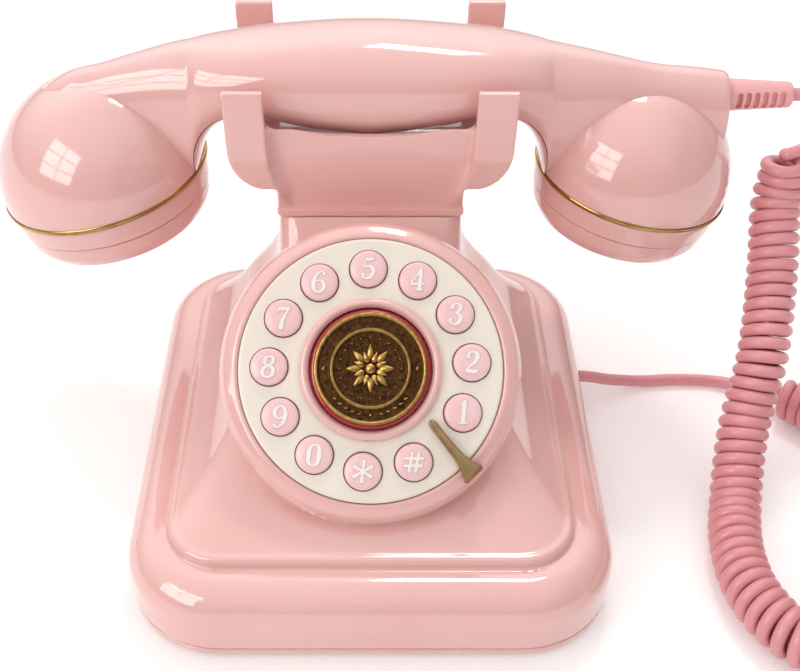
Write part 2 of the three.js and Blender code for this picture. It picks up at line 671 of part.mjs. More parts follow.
const receiver = turned([[0, -12.6], [21, -12.6], [21, -7], [12, -1], [0, -1]], 24);
add("receiver_capsule", onDome(receiver, DOMES.receiver), BLACK);
add("microphone_capsule", onDome(disc(5, -12.6, -7.5, 16), DOMES.transmitter), BLACK);
add("handset_weight", block(-24, 24, 36, 50, 112.2, 115.8), STEEL);

// A tapered sleeve with slots through its front and back flanks, so that rails are left above and below.
function boot() {
  const start = ARM_END_X + GAP;
  const inside = ARM_END_X - 7;
  const end = start + BOOT.length;
  const sleeve = turned(
    [[0, inside], [BOOT.neck + 1.6, inside], [BOOT.neck + 1.6, inside + 2], [BOOT.neck, inside + 2],
      [BOOT.neck, start], [BOOT.root, start], [BOOT.root, start + 1.5], [BOOT.tip, end - 1],
      [BOOT.tip - 0.5, end], [0, end]],
    16,
  );
  const pitch = (BOOT.length - 4) / BOOT.slots;
  const slots = [];
  for (let i = 0; i < BOOT.slots; i++) {
    const low = start + 2.4 + i * pitch;
    slots.push(block(-2.3, 2.3, 2.6, 8, low, low + 1.4), block(-2.3, 2.3, -8, -2.6, low, low + 1.4));
  }
  return cut(sleeve, ...slots).rotate([0, 90, 0]).translate([0, CRADLE_Y, BOOT.z]);
}
add("cord_boot", boot(), CORD_PINK);

// ---------------------------------------------------------------- handset cord
// The coiled length hangs from beside the handset to the table, curls there and comes back towards the base.
const COIL_REST_Z = COIL_RADIUS + 0.4;
const COIL_PATH = [
  V(130, 41, 93), V(129.5, 40.5, 86), V(128, 37, 76), V(127, 25, 62), V(123, 5, 43), V(117, -10, 24),
  V(113, -28, 10.5), V(110, -45, COIL_REST_Z), V(111, -62, COIL_REST_Z), V(119, -77, COIL_REST_Z),
  V(133, -84, COIL_REST_Z), V(150, -78, COIL_REST_Z), V(163, -60, COIL_REST_Z), V(168, -35, COIL_REST_Z),
  V(163, -8, COIL_REST_Z), V(152, 12, COIL_REST_Z), V(140, 24, COIL_REST_Z),
];
const BOOT_TIP_X = ARM_END_X + GAP + BOOT.length;
const HANDSET_LEAD_PATH = [
  V(BOOT_TIP_X + GAP, CRADLE_Y, BOOT.z), V(138, CRADLE_Y, 112), V(144.5, 42.4, 109), V(146.5, 42, 104),
  V(143.5, 41.6, 99), V(137, 41.2, 96.8), V(131, 41, 96.4),
];
const PLUG_X = BASE.halfWidth + 0.8;
const BASE_LEAD_PATH = [
  V(138.9, 25.1, 7), V(135.5, 28.6, 5.2), V(130, 33, 3.4), V(121, 36.8, LEAD_RADIUS + 0.3),
  V(108, 37.6, LEAD_RADIUS + 0.3), V(96, 36.4, LEAD_RADIUS + 0.6), V(84, 34.2, 5.2),
  V(76.5, JACK.y, JACK.z - 0.3), V(PLUG_X + GAP, JACK.y, JACK.z),
];
add("coiled_cord", bar(COIL_PATH, COIL_RADIUS, 46, 8), CORD_PINK);
add("cord_lead_handset", bar(HANDSET_LEAD_PATH, LEAD_RADIUS, 14, 6), CORD_PINK);
add("cord_lead_base", bar(BASE_LEAD_PATH, LEAD_RADIUS, 18, 6), CORD_PINK);
add(
  "cord_plug",
  join(
    block(PLUG_X - 10, PLUG_X - 4, JACK.y - 2.4, JACK.y + 2.4, JACK.z - 1.5, JACK.z + 1.5),
    block(PLUG_X - 5, PLUG_X, JACK.y - 2.8, JACK.y + 2.8, JACK.z - 1.8, JACK.z + 1.8),
  ),
  BLACK,
);

const assembly = new THREE.Group();
assembly.add(phone);
phone.position.z = -FOOT_HEIGHT;
export default assembly;
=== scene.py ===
"""A retro cradle telephone with a push-button dial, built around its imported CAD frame."""
import json
import math

import bmesh
import bpy
from mathutils import Matrix, Vector


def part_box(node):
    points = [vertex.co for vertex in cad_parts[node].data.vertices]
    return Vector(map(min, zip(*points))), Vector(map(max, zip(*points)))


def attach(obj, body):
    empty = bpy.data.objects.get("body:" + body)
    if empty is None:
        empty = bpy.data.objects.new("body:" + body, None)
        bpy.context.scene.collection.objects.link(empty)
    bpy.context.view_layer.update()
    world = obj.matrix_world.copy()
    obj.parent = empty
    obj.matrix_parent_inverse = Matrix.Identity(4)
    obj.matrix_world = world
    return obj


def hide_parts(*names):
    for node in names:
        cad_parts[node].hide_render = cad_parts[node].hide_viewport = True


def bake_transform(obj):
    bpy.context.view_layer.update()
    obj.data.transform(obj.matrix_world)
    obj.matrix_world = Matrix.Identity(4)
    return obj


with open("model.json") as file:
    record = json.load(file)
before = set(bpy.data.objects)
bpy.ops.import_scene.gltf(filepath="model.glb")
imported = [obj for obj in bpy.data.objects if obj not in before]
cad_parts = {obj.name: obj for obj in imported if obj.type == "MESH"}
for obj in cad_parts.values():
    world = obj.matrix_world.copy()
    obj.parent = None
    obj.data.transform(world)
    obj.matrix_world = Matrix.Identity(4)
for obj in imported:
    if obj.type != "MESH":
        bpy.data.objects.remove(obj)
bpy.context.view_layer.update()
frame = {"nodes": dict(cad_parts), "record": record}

# ---------------------------------------------------------------- driving dimensions
# Millimetres; heights count from the floor, which the feet's soles give.
MM = 0.001
FLOOR_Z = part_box("foot_front_left")[0].z
HALF_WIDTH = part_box("housing")[1].x / MM
HALF_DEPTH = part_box("housing")[1].y / MM
BASE_CORNER = 28.0
PLATE_TOP = 4.5
SKIRT_TURN_Z, SKIRT_TURN = 15.5, 9.5  # where the skirt starts to turn in towards the ledge, and its radius
LEDGE_Z = SKIRT_TURN_Z + SKIRT_TURN
PLATEAU = {"half": 58.3, "front": -66.6, "back": 67, "corner": 16}
PLATEAU_Z = 28.15
NECK_TOP = 84.2
CRADLE_Y = (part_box("hook_plunger")[0].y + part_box("hook_plunger")[1].y) / 2 / MM
DIAL_AT = (0, -29.5, 66)
DIAL_LEAN = 44.0  # degrees the dial's face leans back from level
BEZEL, LIP = 42.9, 37.3
KEY_RING, KEY_RADIUS, KEY_HOLE = 28.4, 5.2, 5.5
KEYS = "1 2 3 4 5 6 7 8 9 0 star hash".split()
KEY_FIRST, KEY_STEP = 115.2, 29.1  # clock angles about the dial's centre
STOP_ANGLE = 135.5
# Each dome: side, distance from the middle, height of its trim ring, radius, tilt.
RECEIVER = (-1, 83.1, 85.4, 32.4, 11.6)
TRANSMITTER = (1, 81.6, 84.7, 30.3, 11.0)
DOME_HEIGHT = 32.8
ARM_END = 107
COIL_RADIUS, CORD_RADIUS, COIL_PITCH = 8.0, 2.0, 4.15
BOOT_Z = 112.6


def P(x, y, z):
    """A point in metres in the frame, from millimetres above the floor."""
    return Vector((x * MM, y * MM, z * MM + FLOOR_Z))


PHONE = Matrix.Translation(P(0, 0, 0)) @ Matrix.Scale(MM, 4)
DIAL_TURN = Matrix.Rotation(math.radians(DIAL_LEAN), 4, "X")
DIAL = Matrix.Translation(P(*DIAL_AT)) @ DIAL_TURN @ Matrix.Scale(MM, 4)


def dome_place(dome):
    """The frame of a dome: its axis leans out at the top."""
    side, x, z, _, tilt = dome
    lean = Matrix.Rotation(math.radians(side * tilt), 4, "Y")
    return PHONE @ Matrix.Translation((side * x, CRADLE_Y, z)) @ lean


# ---------------------------------------------------------------- shape helpers
def piece(name, verts, faces, material, place=PHONE, sharp=38):
    """A mesh object from points in a local frame, smooth except at edges sharper than the angle."""
    mesh = bpy.data.meshes.new(name)
    mesh.from_pydata([tuple(v) for v in verts], [], [tuple(f) for f in faces])
    mesh.transform(place)
    obj = bpy.data.objects.new(name, mesh)
    bpy.context.scene.collection.objects.link(obj)
    if material:
        mesh.materials.append(material)
    tidy(obj, sharp)
    return obj


def tidy(obj, sharp=38):
    """Welds doubles, turns the faces outwards and sets smooth shading with sharp creases."""
    bm = bmesh.new()
    bm.from_mesh(obj.data)
    bmesh.ops.remove_doubles(bm, verts=bm.verts, dist=1e-6)
    bmesh.ops.recalc_face_normals(bm, faces=bm.faces)
    bm.to_mesh(obj.data)
    bm.free()
    obj.data.shade_smooth()
    obj.data.set_sharp_from_angle(angle=math.radians(sharp))


def settle(obj, body, slot, *nodes):
    """Puts a finished piece on its body, in the place of the CAD nodes that it stands for."""
    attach(obj, body)
    if nodes:
        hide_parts(*nodes)
    return obj


def bake(obj):
    """Applies the object's modifiers to its mesh."""
    bpy.context.view_layer.update()
    graph = bpy.context.evaluated_depsgraph_get()
    mesh = bpy.data.meshes.new_from_object(obj.evaluated_get(graph))
    obj.modifiers.clear()
    obj.data = mesh
    return obj


def combine(obj, other, operation):
    """Joins, cuts or keeps the common part of two closed pieces; the second is used up."""
    modifier = obj.modifiers.new("combine", "BOOLEAN")
    modifier.operation = operation
    modifier.object = other
    modifier.solver = "MANIFOLD"
    bake(obj)
    bpy.data.objects.remove(other)
    return obj


def melt(obj, voxel, passes, sharp=60):
    """Remeshes a closed piece evenly and softens its edges, as a moulding's are."""
    remesh = obj.modifiers.new("remesh", "REMESH")
    remesh.mode = "VOXEL"
    remesh.voxel_size = voxel * MM
    soften = obj.modifiers.new("soften", "SMOOTH")
    soften.factor = 0.5
    soften.iterations = passes
    bake(obj)
    obj.data.shade_smooth()
    obj.data.set_sharp_from_angle(angle=math.radians(sharp))
    return obj


def rounded(points, closed=False, steps=6):
    """The outline through corners (x, y, radius), with each corner turned as an arc."""
    out = []
    for i, (x, y, radius) in enumerate(points):
        here = Vector((x, y))
        if radius <= 0 or (not closed and i in (0, len(points) - 1)):
            out.append(here)
            continue
        back = Vector(points[i - 1][:2]) - here
        on = Vector(points[(i + 1) % len(points)][:2]) - here
        half = back.angle(on) / 2
        reach = min(radius / math.tan(half), 0.49 * back.length, 0.49 * on.length)
        radius = reach * math.tan(half)
        back.normalize()
        on.normalize()
        centre = here + (back + on).normalized() * (radius / math.sin(half))
        first = here + back * reach - centre
        last = here + on * reach - centre
        start = math.atan2(first.y, first.x)
        sweep = (math.atan2(last.y, last.x) - start + math.pi) % math.tau - math.pi
        for k in range(steps + 1):
            angle = start + sweep * k / steps
            out.append(centre + radius * Vector((math.cos(angle), math.sin(angle))))
    return out


def skin(rings):
    """Points and faces of a skin over rings of equal count, capped at both ends."""
    count = len(rings[0])
    verts = [p for ring in rings for p in ring]
    faces = []
    for i in range(len(rings) - 1):
        low, high = i * count, (i + 1) * count
        for k in range(count):
            n = (k + 1) % count
            faces.append((low + k, low + n, high + n, high + k))
    faces.append(tuple(reversed(range(count))))
    faces.append(tuple(range(len(verts) - count, len(verts))))
    return verts, faces


def turned(name, profile, material, place=PHONE, segments=128, closed=False):
    """A profile of (radius, height) points turned about the local Z axis."""
    rings = []
    for k in range(segments):
        a = math.tau * k / segments
        rings.append([(r * math.cos(a), r * math.sin(a), h) for r, h in profile])
    count = len(profile)
    faces = []
    for i in range(segments):
        low, high = i * count, (i + 1) % segments * count
        for k in range(count if closed else count - 1):
            n = (k + 1) % count
            faces.append((low + k, high + k, high + n, low + n))
    return piece(name, [p for ring in rings for p in ring], faces, material, place)


def spline(pairs):
    """A value that runs smoothly through (x, value) pairs."""
    xs = [p[0] for p in pairs]
    ys = [p[1] for p in pairs]
    slopes = [
        (ys[min(i + 1, len(xs) - 1)] - ys[max(i - 1, 0)])
        / (xs[min(i + 1, len(xs) - 1)] - xs[max(i - 1, 0)])
        for i in range(len(xs))
    ]

    def at(x):
        x = min(max(x, xs[0]), xs[-1])
        i = max(k for k in range(len(xs) - 1) if xs[k] <= x)
        run = xs[i + 1] - xs[i]
        t = (x - xs[i]) / run
        return (
            (2 * t**3 - 3 * t**2 + 1) * ys[i]
            + (t**3 - 2 * t**2 + t) * run * slopes[i]
            + (3 * t**2 - 2 * t**3) * ys[i + 1]
            + (t**3 - t**2) * run * slopes[i + 1]
        )

    return at


def extruded(name, outline, low, high, material, place=PHONE, axes="XYZ"):
    """A flat outline drawn out along the third of the given axes."""
    order = ["XYZ".index(a) for a in axes]
    rings = []
    for depth in (low, high):
        ring = []
        for u, v in outline:
            point = [0, 0, 0]
            point[order[0]], point[order[1]], point[order[2]] = u, v, depth
            ring.append(tuple(point))
        rings.append(ring)
    return piece(name, *skin(rings), material, place)


def smooth_path(points, step=0.6):
    """Evenly spaced points along a Catmull-Rom curve through the given ones."""
    fine = []
    for i in range(len(points) - 1):
        p0, p1 = points[max(i - 1, 0)], points[i]
        p2, p3 = points[i + 1], points[min(i + 2, len(points) - 1)]
        for k in range(24):
            t = k / 24
            fine.append(
                0.5 * (2 * p1 + (p2 - p0) * t + (2 * p0 - 5 * p1 + 4 * p2 - p3) * t**2
                       + (3 * p1 - p0 - 3 * p2 + p3) * t**3)
            )
    fine.append(points[-1])
    lengths = [0]
    for a, b in zip(fine, fine[1:]):
        lengths.append(lengths[-1] + (b - a).length)
    count = max(2, round(lengths[-1] / step))
    out, i = [], 0
    for k in range(count + 1):
        want = lengths[-1] * k / count
        while i < len(fine) - 2 and lengths[i + 1] < want:
            i += 1
        share = (want - lengths[i]) / max(lengths[i + 1] - lengths[i], 1e-9)
        out.append(fine[i].lerp(fine[i + 1], min(share, 1)))
    return out


def carried_frames(path):
    """Each point with two normals of the path there, turned as little as possible along the way."""
    frames = []
    normal = None
    for i, point in enumerate(path):
        tangent = (path[min(i + 1, len(path) - 1)] - path[max(i - 1, 0)]).normalized()
        if normal is None:
            normal = tangent.orthogonal().normalized()
        normal = (normal - tangent * normal.dot(tangent)).normalized()
        frames.append((point, normal, tangent.cross(normal)))
    return frames


def wire(name, path, radius, material, sides=12):
    """A round wire along a path."""
    angles = [math.tau * k / sides for k in range(sides)]
    rings = []
    for point, n, b in carried_frames(path):
        rings.append([point + radius * (math.cos(a) * n + math.sin(a) * b) for a in angles])
    return piece(name, *skin(rings), material, sharp=60)


# ---------------------------------------------------------------- materials
class Shader:
    """A node material under construction: one Principled surface and the nodes that feed it."""

    def __init__(self, name):
        self.material = bpy.data.materials.new(name)
        self.material.use_nodes = True
        self.tree = self.material.node_tree
        self.surface = next(n for n in self.tree.nodes if n.type == "BSDF_PRINCIPLED")
        self.place = self.tree.nodes.new("ShaderNodeTexCoord").outputs["Object"]

    def link(self, source, target):
        self.tree.links.new(source, target)

    def set(self, **values):
        for name, value in values.items():
            self.surface.inputs[name.replace("_", " ")].default_value = value

    def node(self, kind, **inputs):
        node = self.tree.nodes.new(kind)
        for name, value in inputs.items():
            slot = node.inputs[name.replace("_", " ")]
            if isinstance(value, bpy.types.NodeSocket):
                self.link(value, slot)
            else:
                slot.default_value = value
        return node

    def noise(self, scale, detail=3, roughness=0.5, distortion=0):
        node = self.node("ShaderNodeTexNoise", Vector=self.place, Scale=scale, Detail=detail,
                         Roughness=roughness, Distortion=distortion)
        return node.outputs["Fac"]

    def spread(self, factor, low, high, start=0.35, stop=0.65):
        """The factor stretched from start..stop to low..high."""
        node = self.node("ShaderNodeMapRange", Value=factor)
        for name, value in zip(("From Min", "From Max", "To Min", "To Max"), (start, stop, low, high)):
            node.inputs[name].default_value = value
        return node.outputs["Result"]

    def mix(self, factor, a, b):
        node = self.tree.nodes.new("ShaderNodeMix")
        node.data_type = "RGBA"
        for slot, value in zip((0, 6, 7), (factor, a, b)):
            if isinstance(value, bpy.types.NodeSocket):
                self.link(value, node.inputs[slot])
            else:
                node.inputs[slot].default_value = value
        return node.outputs[2]

    def bump(self, height, distance, strength=1.0, under=None):
        node = self.node("ShaderNodeBump", Height=height, Strength=strength, Distance=distance)
        if under:
            self.link(under, node.inputs["Normal"])
        self.link(node.outputs["Normal"], self.surface.inputs["Normal"])
        return node.outputs["Normal"]


def tone(*rgb):
    """Linear colour from sRGB bytes."""
    return tuple(((c / 255 + 0.055) / 1.055) ** 2.4 if c > 10 else c / 3295 for c in rgb) + (1,)


def plastic(name, light, dark, gloss=0.1, coat=0.6, orange_peel=0.00001, grain=0.0, soft=0.08):
    """Moulded plastic: faint cloudy colour, uneven gloss, a very shallow orange peel and fine grain."""
    s = Shader(name)
    cloudy = s.spread(s.noise(24, 4), 0, 1)
    s.link(s.mix(cloudy, light, dark), s.surface.inputs["Base Color"])
    s.link(s.spread(s.noise(150, 5, 0.6), gloss * 0.8, gloss * 1.35), s.surface.inputs["Roughness"])
    s.set(Subsurface_Weight=soft, Subsurface_Scale=0.004, IOR=1.49, Coat_Weight=coat, Coat_Roughness=0.03)
    s.surface.inputs["Subsurface Radius"].default_value = (1.0, 0.5, 0.4)
    normal = s.bump(s.noise(190, 2), orange_peel)
    if grain:
        s.bump(s.noise(2600, 2), grain, 0.6, normal)
    return s.material


def metal(name, light, dark, gloss, pits=0.00002, scale=60, brushed=False):
    """Metal with cloudy tarnish, small pits and a streaked polish."""
    s = Shader(name)
    tarnish = s.spread(s.noise(scale, 6, 0.62), 0, 1)
    s.link(s.mix(tarnish, light, dark), s.surface.inputs["Base Color"])
    s.link(s.spread(s.noise(scale * 5, 4, 0.6), gloss * 0.7, gloss * 1.5), s.surface.inputs["Roughness"])
    s.set(Metallic=1.0)
    s.bump(s.noise(900 if brushed else 420, 4), pits)
    return s.material


PINK = plastic("pink_shell", tone(229, 181, 176), tone(226, 176, 171))
KEY_PINK = plastic("key_pink", tone(236, 196, 197), tone(233, 190, 191), gloss=0.3, coat=0.15)
FLEXIBLE = {"gloss": 0.34, "coat": 0.1, "grain": 0.00001}
CORD_PINK = plastic("cord_pink", tone(222, 152, 156), tone(216, 144, 149), **FLEXIBLE)
BOOT_PINK = plastic("boot_pink", tone(234, 172, 173), tone(229, 165, 167), **FLEXIBLE)
IVORY = plastic("ivory", tone(232, 223, 211), tone(228, 218, 205), gloss=0.32, coat=0.15, grain=0.000004)
FIGURE_WHITE = plastic("figure_white", tone(242, 233, 231), tone(238, 228, 226), gloss=0.35, coat=0.1)
# Darker pink for a thin rim just round each white figure: painted shade, standing in for the shadow in the
# groove round the figure.
FIGURE_PAINTED_SHADE = plastic("figure_painted_shade", tone(214, 170, 174), tone(206, 160, 166), gloss=0.45, coat=0)
RED_LENS = plastic("red_lens", tone(176, 10, 26), tone(150, 6, 20), gloss=0.06, coat=1.0, soft=0.25)
BLACK = plastic("black_plastic", tone(34, 34, 36), tone(24, 24, 26),
                gloss=0.42, coat=0, grain=0.00001, soft=0)
RUBBER = plastic("foot_rubber", tone(150, 118, 120), tone(138, 106, 110),
                 gloss=0.7, coat=0, grain=0.00002, soft=0)
BOARD = plastic("circuit_board", tone(36, 104, 58), tone(28, 88, 50), gloss=0.35, coat=0.2, soft=0)
SILICONE = plastic("silicone", tone(216, 212, 204), tone(206, 200, 192), gloss=0.6, coat=0, soft=0.2)
BRASS = metal("brass", tone(196, 158, 104), tone(146, 108, 66), 0.14)
STOP_BRASS = metal("stop_brass", tone(186, 154, 110), tone(138, 110, 76), 0.2)
STEEL = metal("steel", tone(196, 198, 202), tone(170, 172, 176), 0.28, brushed=True)


def antique(name, low, high, floor_color, crest_color):
    """Antiqued brass: dark in the hollows and rubbed bright on whatever stands highest."""
    s = Shader(name)
    mottled = s.spread(s.noise(900, 8, 0.7, 0.6), 0, 1, 0.4, 0.62)
    dark = s.mix(mottled, tone(*floor_color), tone(92, 62, 34))
    back = DIAL.inverted()
    turn = s.tree.nodes.new("ShaderNodeVectorMath")
    turn.operation = "DOT_PRODUCT"
    s.link(s.place, turn.inputs[0])
    turn.inputs[1].default_value = tuple(back[2][:3])
    height = s.node("ShaderNodeMath")
    s.link(turn.outputs["Value"], height.inputs[0])
    height.inputs[1].default_value = back[2][3]
    worn = s.spread(height.outputs["Value"], 0, 1, low, high)
    rubbed = s.node("ShaderNodeMath")
    rubbed.operation = "MULTIPLY"
    s.link(worn, rubbed.inputs[0])
    s.link(s.spread(s.noise(700, 4), 0.55, 1.0), rubbed.inputs[1])
    s.link(s.mix(rubbed.outputs["Value"], dark, tone(*crest_color)), s.surface.inputs["Base Color"])
    s.link(s.spread(rubbed.outputs["Value"], 0.5, 0.24, 0, 1), s.surface.inputs["Roughness"])
    s.set(Metallic=1.0)
    s.bump(s.noise(1300, 6, 0.6), 0.00012, 0.7)
    return s.material


ANTIQUE = antique("antique_brass", 4.7, 5.3, (52, 33, 20), (206, 160, 92))

SLOT_MATERIALS = {
    "pink_shell": PINK, "key_pink": KEY_PINK, "cord_pink": CORD_PINK, "ivory": IVORY,
    "red_lens": RED_LENS, "brass": BRASS, "antique_brass": ANTIQUE, "steel": STEEL,
    "foot_rubber": RUBBER, "black_plastic": BLACK, "circuit_board": BOARD, "silicone": SILICONE,
}


def dress_frame():
    """Every CAD node gets its slot's material; the ones that pieces replace are hidden later."""
    for part in frame["record"]["subparts"]:
        node = frame["nodes"][part["node"]]
        node.data.materials.clear()
        node.data.materials.append(SLOT_MATERIALS[part["material_slot"]])


# ---------------------------------------------------------------- base
SIDE_FLARE = spline([(27.8, 56.4), (30, 53), (34, 47.5), (38, 43.6), (42, 40.3), (47, 35.4),
                     (52, 31.8), (58, 29.4), (65, 28.2), (73, 27.6), (85, 27.6)])
FRONT_FLARE = spline([(27.8, -64.7), (30, -58), (34, -47), (38, -38), (45, -25), (55, -10),
                      (65, 2), (75, 11), (82, 17), (85, 20)])
BACK_FLARE = spline([(27.8, 65.2), (31, 64), (38, 63), (45, 63), (60, 64.6), (73, 65.5), (85, 65.6)])
CORNER_FLARE = spline([(27.8, 14.4), (40, 11), (60, 8), (85, 6.5)])


def rounded_ring(half, front, back, corner, z, per_corner=14):
    """A level rectangle with round corners; half is half its width."""
    ring = []
    x, near, far = half - corner, front + corner, back - corner
    for cx, cy, start in ((x, far, 0), (-x, far, 90), (-x, near, 180), (x, near, 270)):
        for k in range(per_corner + 1):
            a = math.radians(start + 90 * k / per_corner)
            ring.append((cx + corner * math.cos(a), cy + corner * math.sin(a), z))
    return ring


def base_ring(inset, z):
    """The base's outline, drawn in."""
    return rounded_ring(HALF_WIDTH - inset, inset - HALF_DEPTH, HALF_DEPTH - inset, BASE_CORNER - inset, z)


def plateau_ring(inset, z):
    """The plateau's outline, drawn in."""
    return rounded_ring(PLATEAU["half"] - inset, PLATEAU["front"] + inset, PLATEAU["back"] - inset,
                        PLATEAU["corner"] - inset, z)


def housing():
    skirt = ((0.9, PLATE_TOP + 0.2), (0.35, PLATE_TOP + 0.7), (0.25, 7), (0, 11))
    rings = [base_ring(inset, z) for inset, z in skirt]
    for k in range(11):
        a = math.radians(9 * k)
        rings.append(base_ring(SKIRT_TURN * (1 - math.cos(a)), SKIRT_TURN_Z + SKIRT_TURN * math.sin(a)))
    step = ((-0.4, 24.9), (0, 25.1), (0.1, 26.4), (0.3, 27.3), (0.8, 27.9), (1.5, 28.1))
    rings += [plateau_ring(inset, z) for inset, z in step]
    levels = 40
    for k in range(levels):
        z = PLATEAU_Z + (NECK_TOP - PLATEAU_Z) * (k / (levels - 1)) ** 1.5
        rings.append(rounded_ring(SIDE_FLARE(z), FRONT_FLARE(z), BACK_FLARE(z), CORNER_FLARE(z), z))
    body = piece("housing_moulding", *skin(rings), PINK)
    face = rounded([(42.2, -16, 0), (BEZEL, -4, 1.6), (41.4, -1.1, 2.2), (LIP + 1.2, 0.5, 0.8),
                    (LIP, 0.5, 0.8), (LIP, -2, 0)])
    drum = turned("drum", [(0, -36), (40.2, -36)] + face + [(0, -2)], PINK, DIAL, 160)
    keep = extruded("keep", [(-80, -90), (80, -90), (80, 60), (-80, 60)], LEDGE_Z - 4, 140, PINK)
    combine(drum, keep, "INTERSECT")
    combine(body, drum, "UNION")
    mouth = turned("mouth", [(0, -3), (LIP, -3), (LIP, 4), (0, 4)], PINK, DIAL, 160)
    combine(body, mouth, "DIFFERENCE")
    melt(body, 0.45, 3)
    return settle(body, "base", "pink_shell", "housing")


def base_plate():
    edge = ((2.4, 1.5), (1.4, 1.7), (0.8, 2.3), (0.55, 3.2), (0.55, 4.1), (1.1, PLATE_TOP))
    plate = piece("base_plate_moulding", *skin([base_ring(inset, z) for inset, z in edge]), PINK)
    return settle(plate, "base", "pink_shell", "base_plate")


# ---------------------------------------------------------------- cradle
CRADLE = PHONE @ Matrix.Translation((0, CRADLE_Y, 0))
CRADLE_FOOT = 84.6
FRONT_TIP, REAR_TIP = 127.6, 130.7
PRONG_OUT, PRONG_IN, PRONG_FRONT = 41.7, 30.2, 15.5
TROUGH_Z, TROUGH_RISE, TROUGH_RUN = 101.8, 11.0, 21.5  # lowest point, and its edges above and beside that


def cradle_front():
    """The cradle's outline seen from the front: foot, bead, round hips and prongs."""
    quarter = [math.pi * k / 40 for k in range(21)]
    hip = [(30.5 + 10.7 * math.sin(a), 109 - 13.7 * math.cos(a), 0) for a in quarter]
    foot = [(0, CRADLE_FOOT, 0), (27.8, CRADLE_FOOT, 0.6), (28.1, 86.0, 0.8), (27.7, 87.6, 0.5),
            (27.5, 95.3, 1.0)]
    prong = [(PRONG_OUT, REAR_TIP, 0.9), (PRONG_IN, REAR_TIP, 0.9), (PRONG_IN - 0.4, 113.6, 3.6),
             (23, 113.9, 5), (12, 111.6, 20), (0, 111.2, 0)]
    right = rounded(foot + hip + prong)
    return right + [Vector((-p.x, p.y)) for p in reversed(right[1:-1])]


def cradle_edge(tip):
    """The front half of the cradle's outline seen from the side, from the foot to the trough."""
    return rounded([(0, CRADLE_FOOT, 0), (19.6, CRADLE_FOOT, 0.6), (19.4, 86.0, 0.8), (19.9, 87.6, 0.6),
                    (17.4, 93, 8), (PRONG_FRONT + 0.4, 106, 14), (PRONG_FRONT, tip, 0.8),
                    (PRONG_FRONT + 2.6, tip, 1.0), (19.6, 117, 6),
                    (CRADLE_Y - TROUGH_RUN, TROUGH_Z + TROUGH_RISE, 2)])[1:]


def cradle():
    body = extruded("cradle_moulding", cradle_front(), 10, 76, PINK, axes="XZY")
    back = 2 * CRADLE_Y
    radius = (TROUGH_RUN**2 + TROUGH_RISE**2) / (2 * TROUGH_RISE)
    trough = []
    for k in range(1, 40):
        a = math.asin(TROUGH_RUN / radius) * (k / 20 - 1)
        trough.append(Vector((CRADLE_Y + radius * math.sin(a), TROUGH_Z + radius * (1 - math.cos(a)))))
    far = [Vector((back - p.x, p.y)) for p in reversed(cradle_edge(REAR_TIP))]
    side = extruded("side", cradle_edge(FRONT_TIP) + trough + far, -50, 50, PINK, axes="YZX")
    combine(body, side, "INTERSECT")
    for mirrored in (False, True):
        rings = []
        for z, half_width in ((87.8, 26.6), (93, 26.9), (97, 28.4), (103, 29.8), (110, 30.2), (140, 30.2)):
            corner = rounded([(half_width, 8, 0), (half_width - 0.4, 20, 4.4), (0, 20, 0)])
            outline = [(-half_width, -5), (half_width, -5)] + [tuple(p) for p in corner]
            outline += [(-x, y) for x, y in reversed(outline[2:-1])]
            rings.append([(x, back - y if mirrored else y, z) for x, y in outline])
        combine(body, piece("recess", *skin(rings), PINK), "DIFFERENCE")
    combine(body, turned("bore", [(0, 80), (3.3, 80), (3.3, 112), (0, 112)], PINK, CRADLE, 48), "DIFFERENCE")
    melt(body, 0.42, 4)
    return settle(body, "base", "pink_shell", "cradle")


def hook_plunger():
    profile = [(0, 84)] + rounded([(2.9, 84, 0), (2.9, 101.6, 1.4), (0, 101.9, 0)])
    obj = turned("hook_plunger_moulding", profile, PINK, CRADLE, 48)
    return settle(obj, "hook_plunger", "pink_shell", "hook_plunger")


# ---------------------------------------------------------------- dial
def key_spot(i):
    """Where a key's centre lies on the dial."""
    a = math.radians(KEY_FIRST - KEY_STEP * i)
    return KEY_RING * math.sin(a), KEY_RING * math.cos(a)


def dial_plate():
    edge = LIP - 0.15
    section = rounded([(edge, -2.4, 0), (edge, 1.1, 0.8), (34, 1.0, 2), (21.2, 1.3, 0.6), (19.4, 1.3, 0.4),
                       (19.4, -2.4, 0)])
    plate = turned("dial_face", section, IVORY, DIAL, 160, closed=True)
    mouth = KEY_HOLE + 0.45
    hole = [(0, -6), (KEY_HOLE, -6), (KEY_HOLE, 0.95), (mouth, 1.4), (mouth, 6), (0, 6)]
    for i in range(len(KEYS)):
        place = DIAL @ Matrix.Translation((*key_spot(i), 0))
        combine(plate, turned("hole", hole, IVORY, place, 48), "DIFFERENCE")
    tidy(plate, 30)
    return settle(plate, "base", "ivory", "dial_plate")


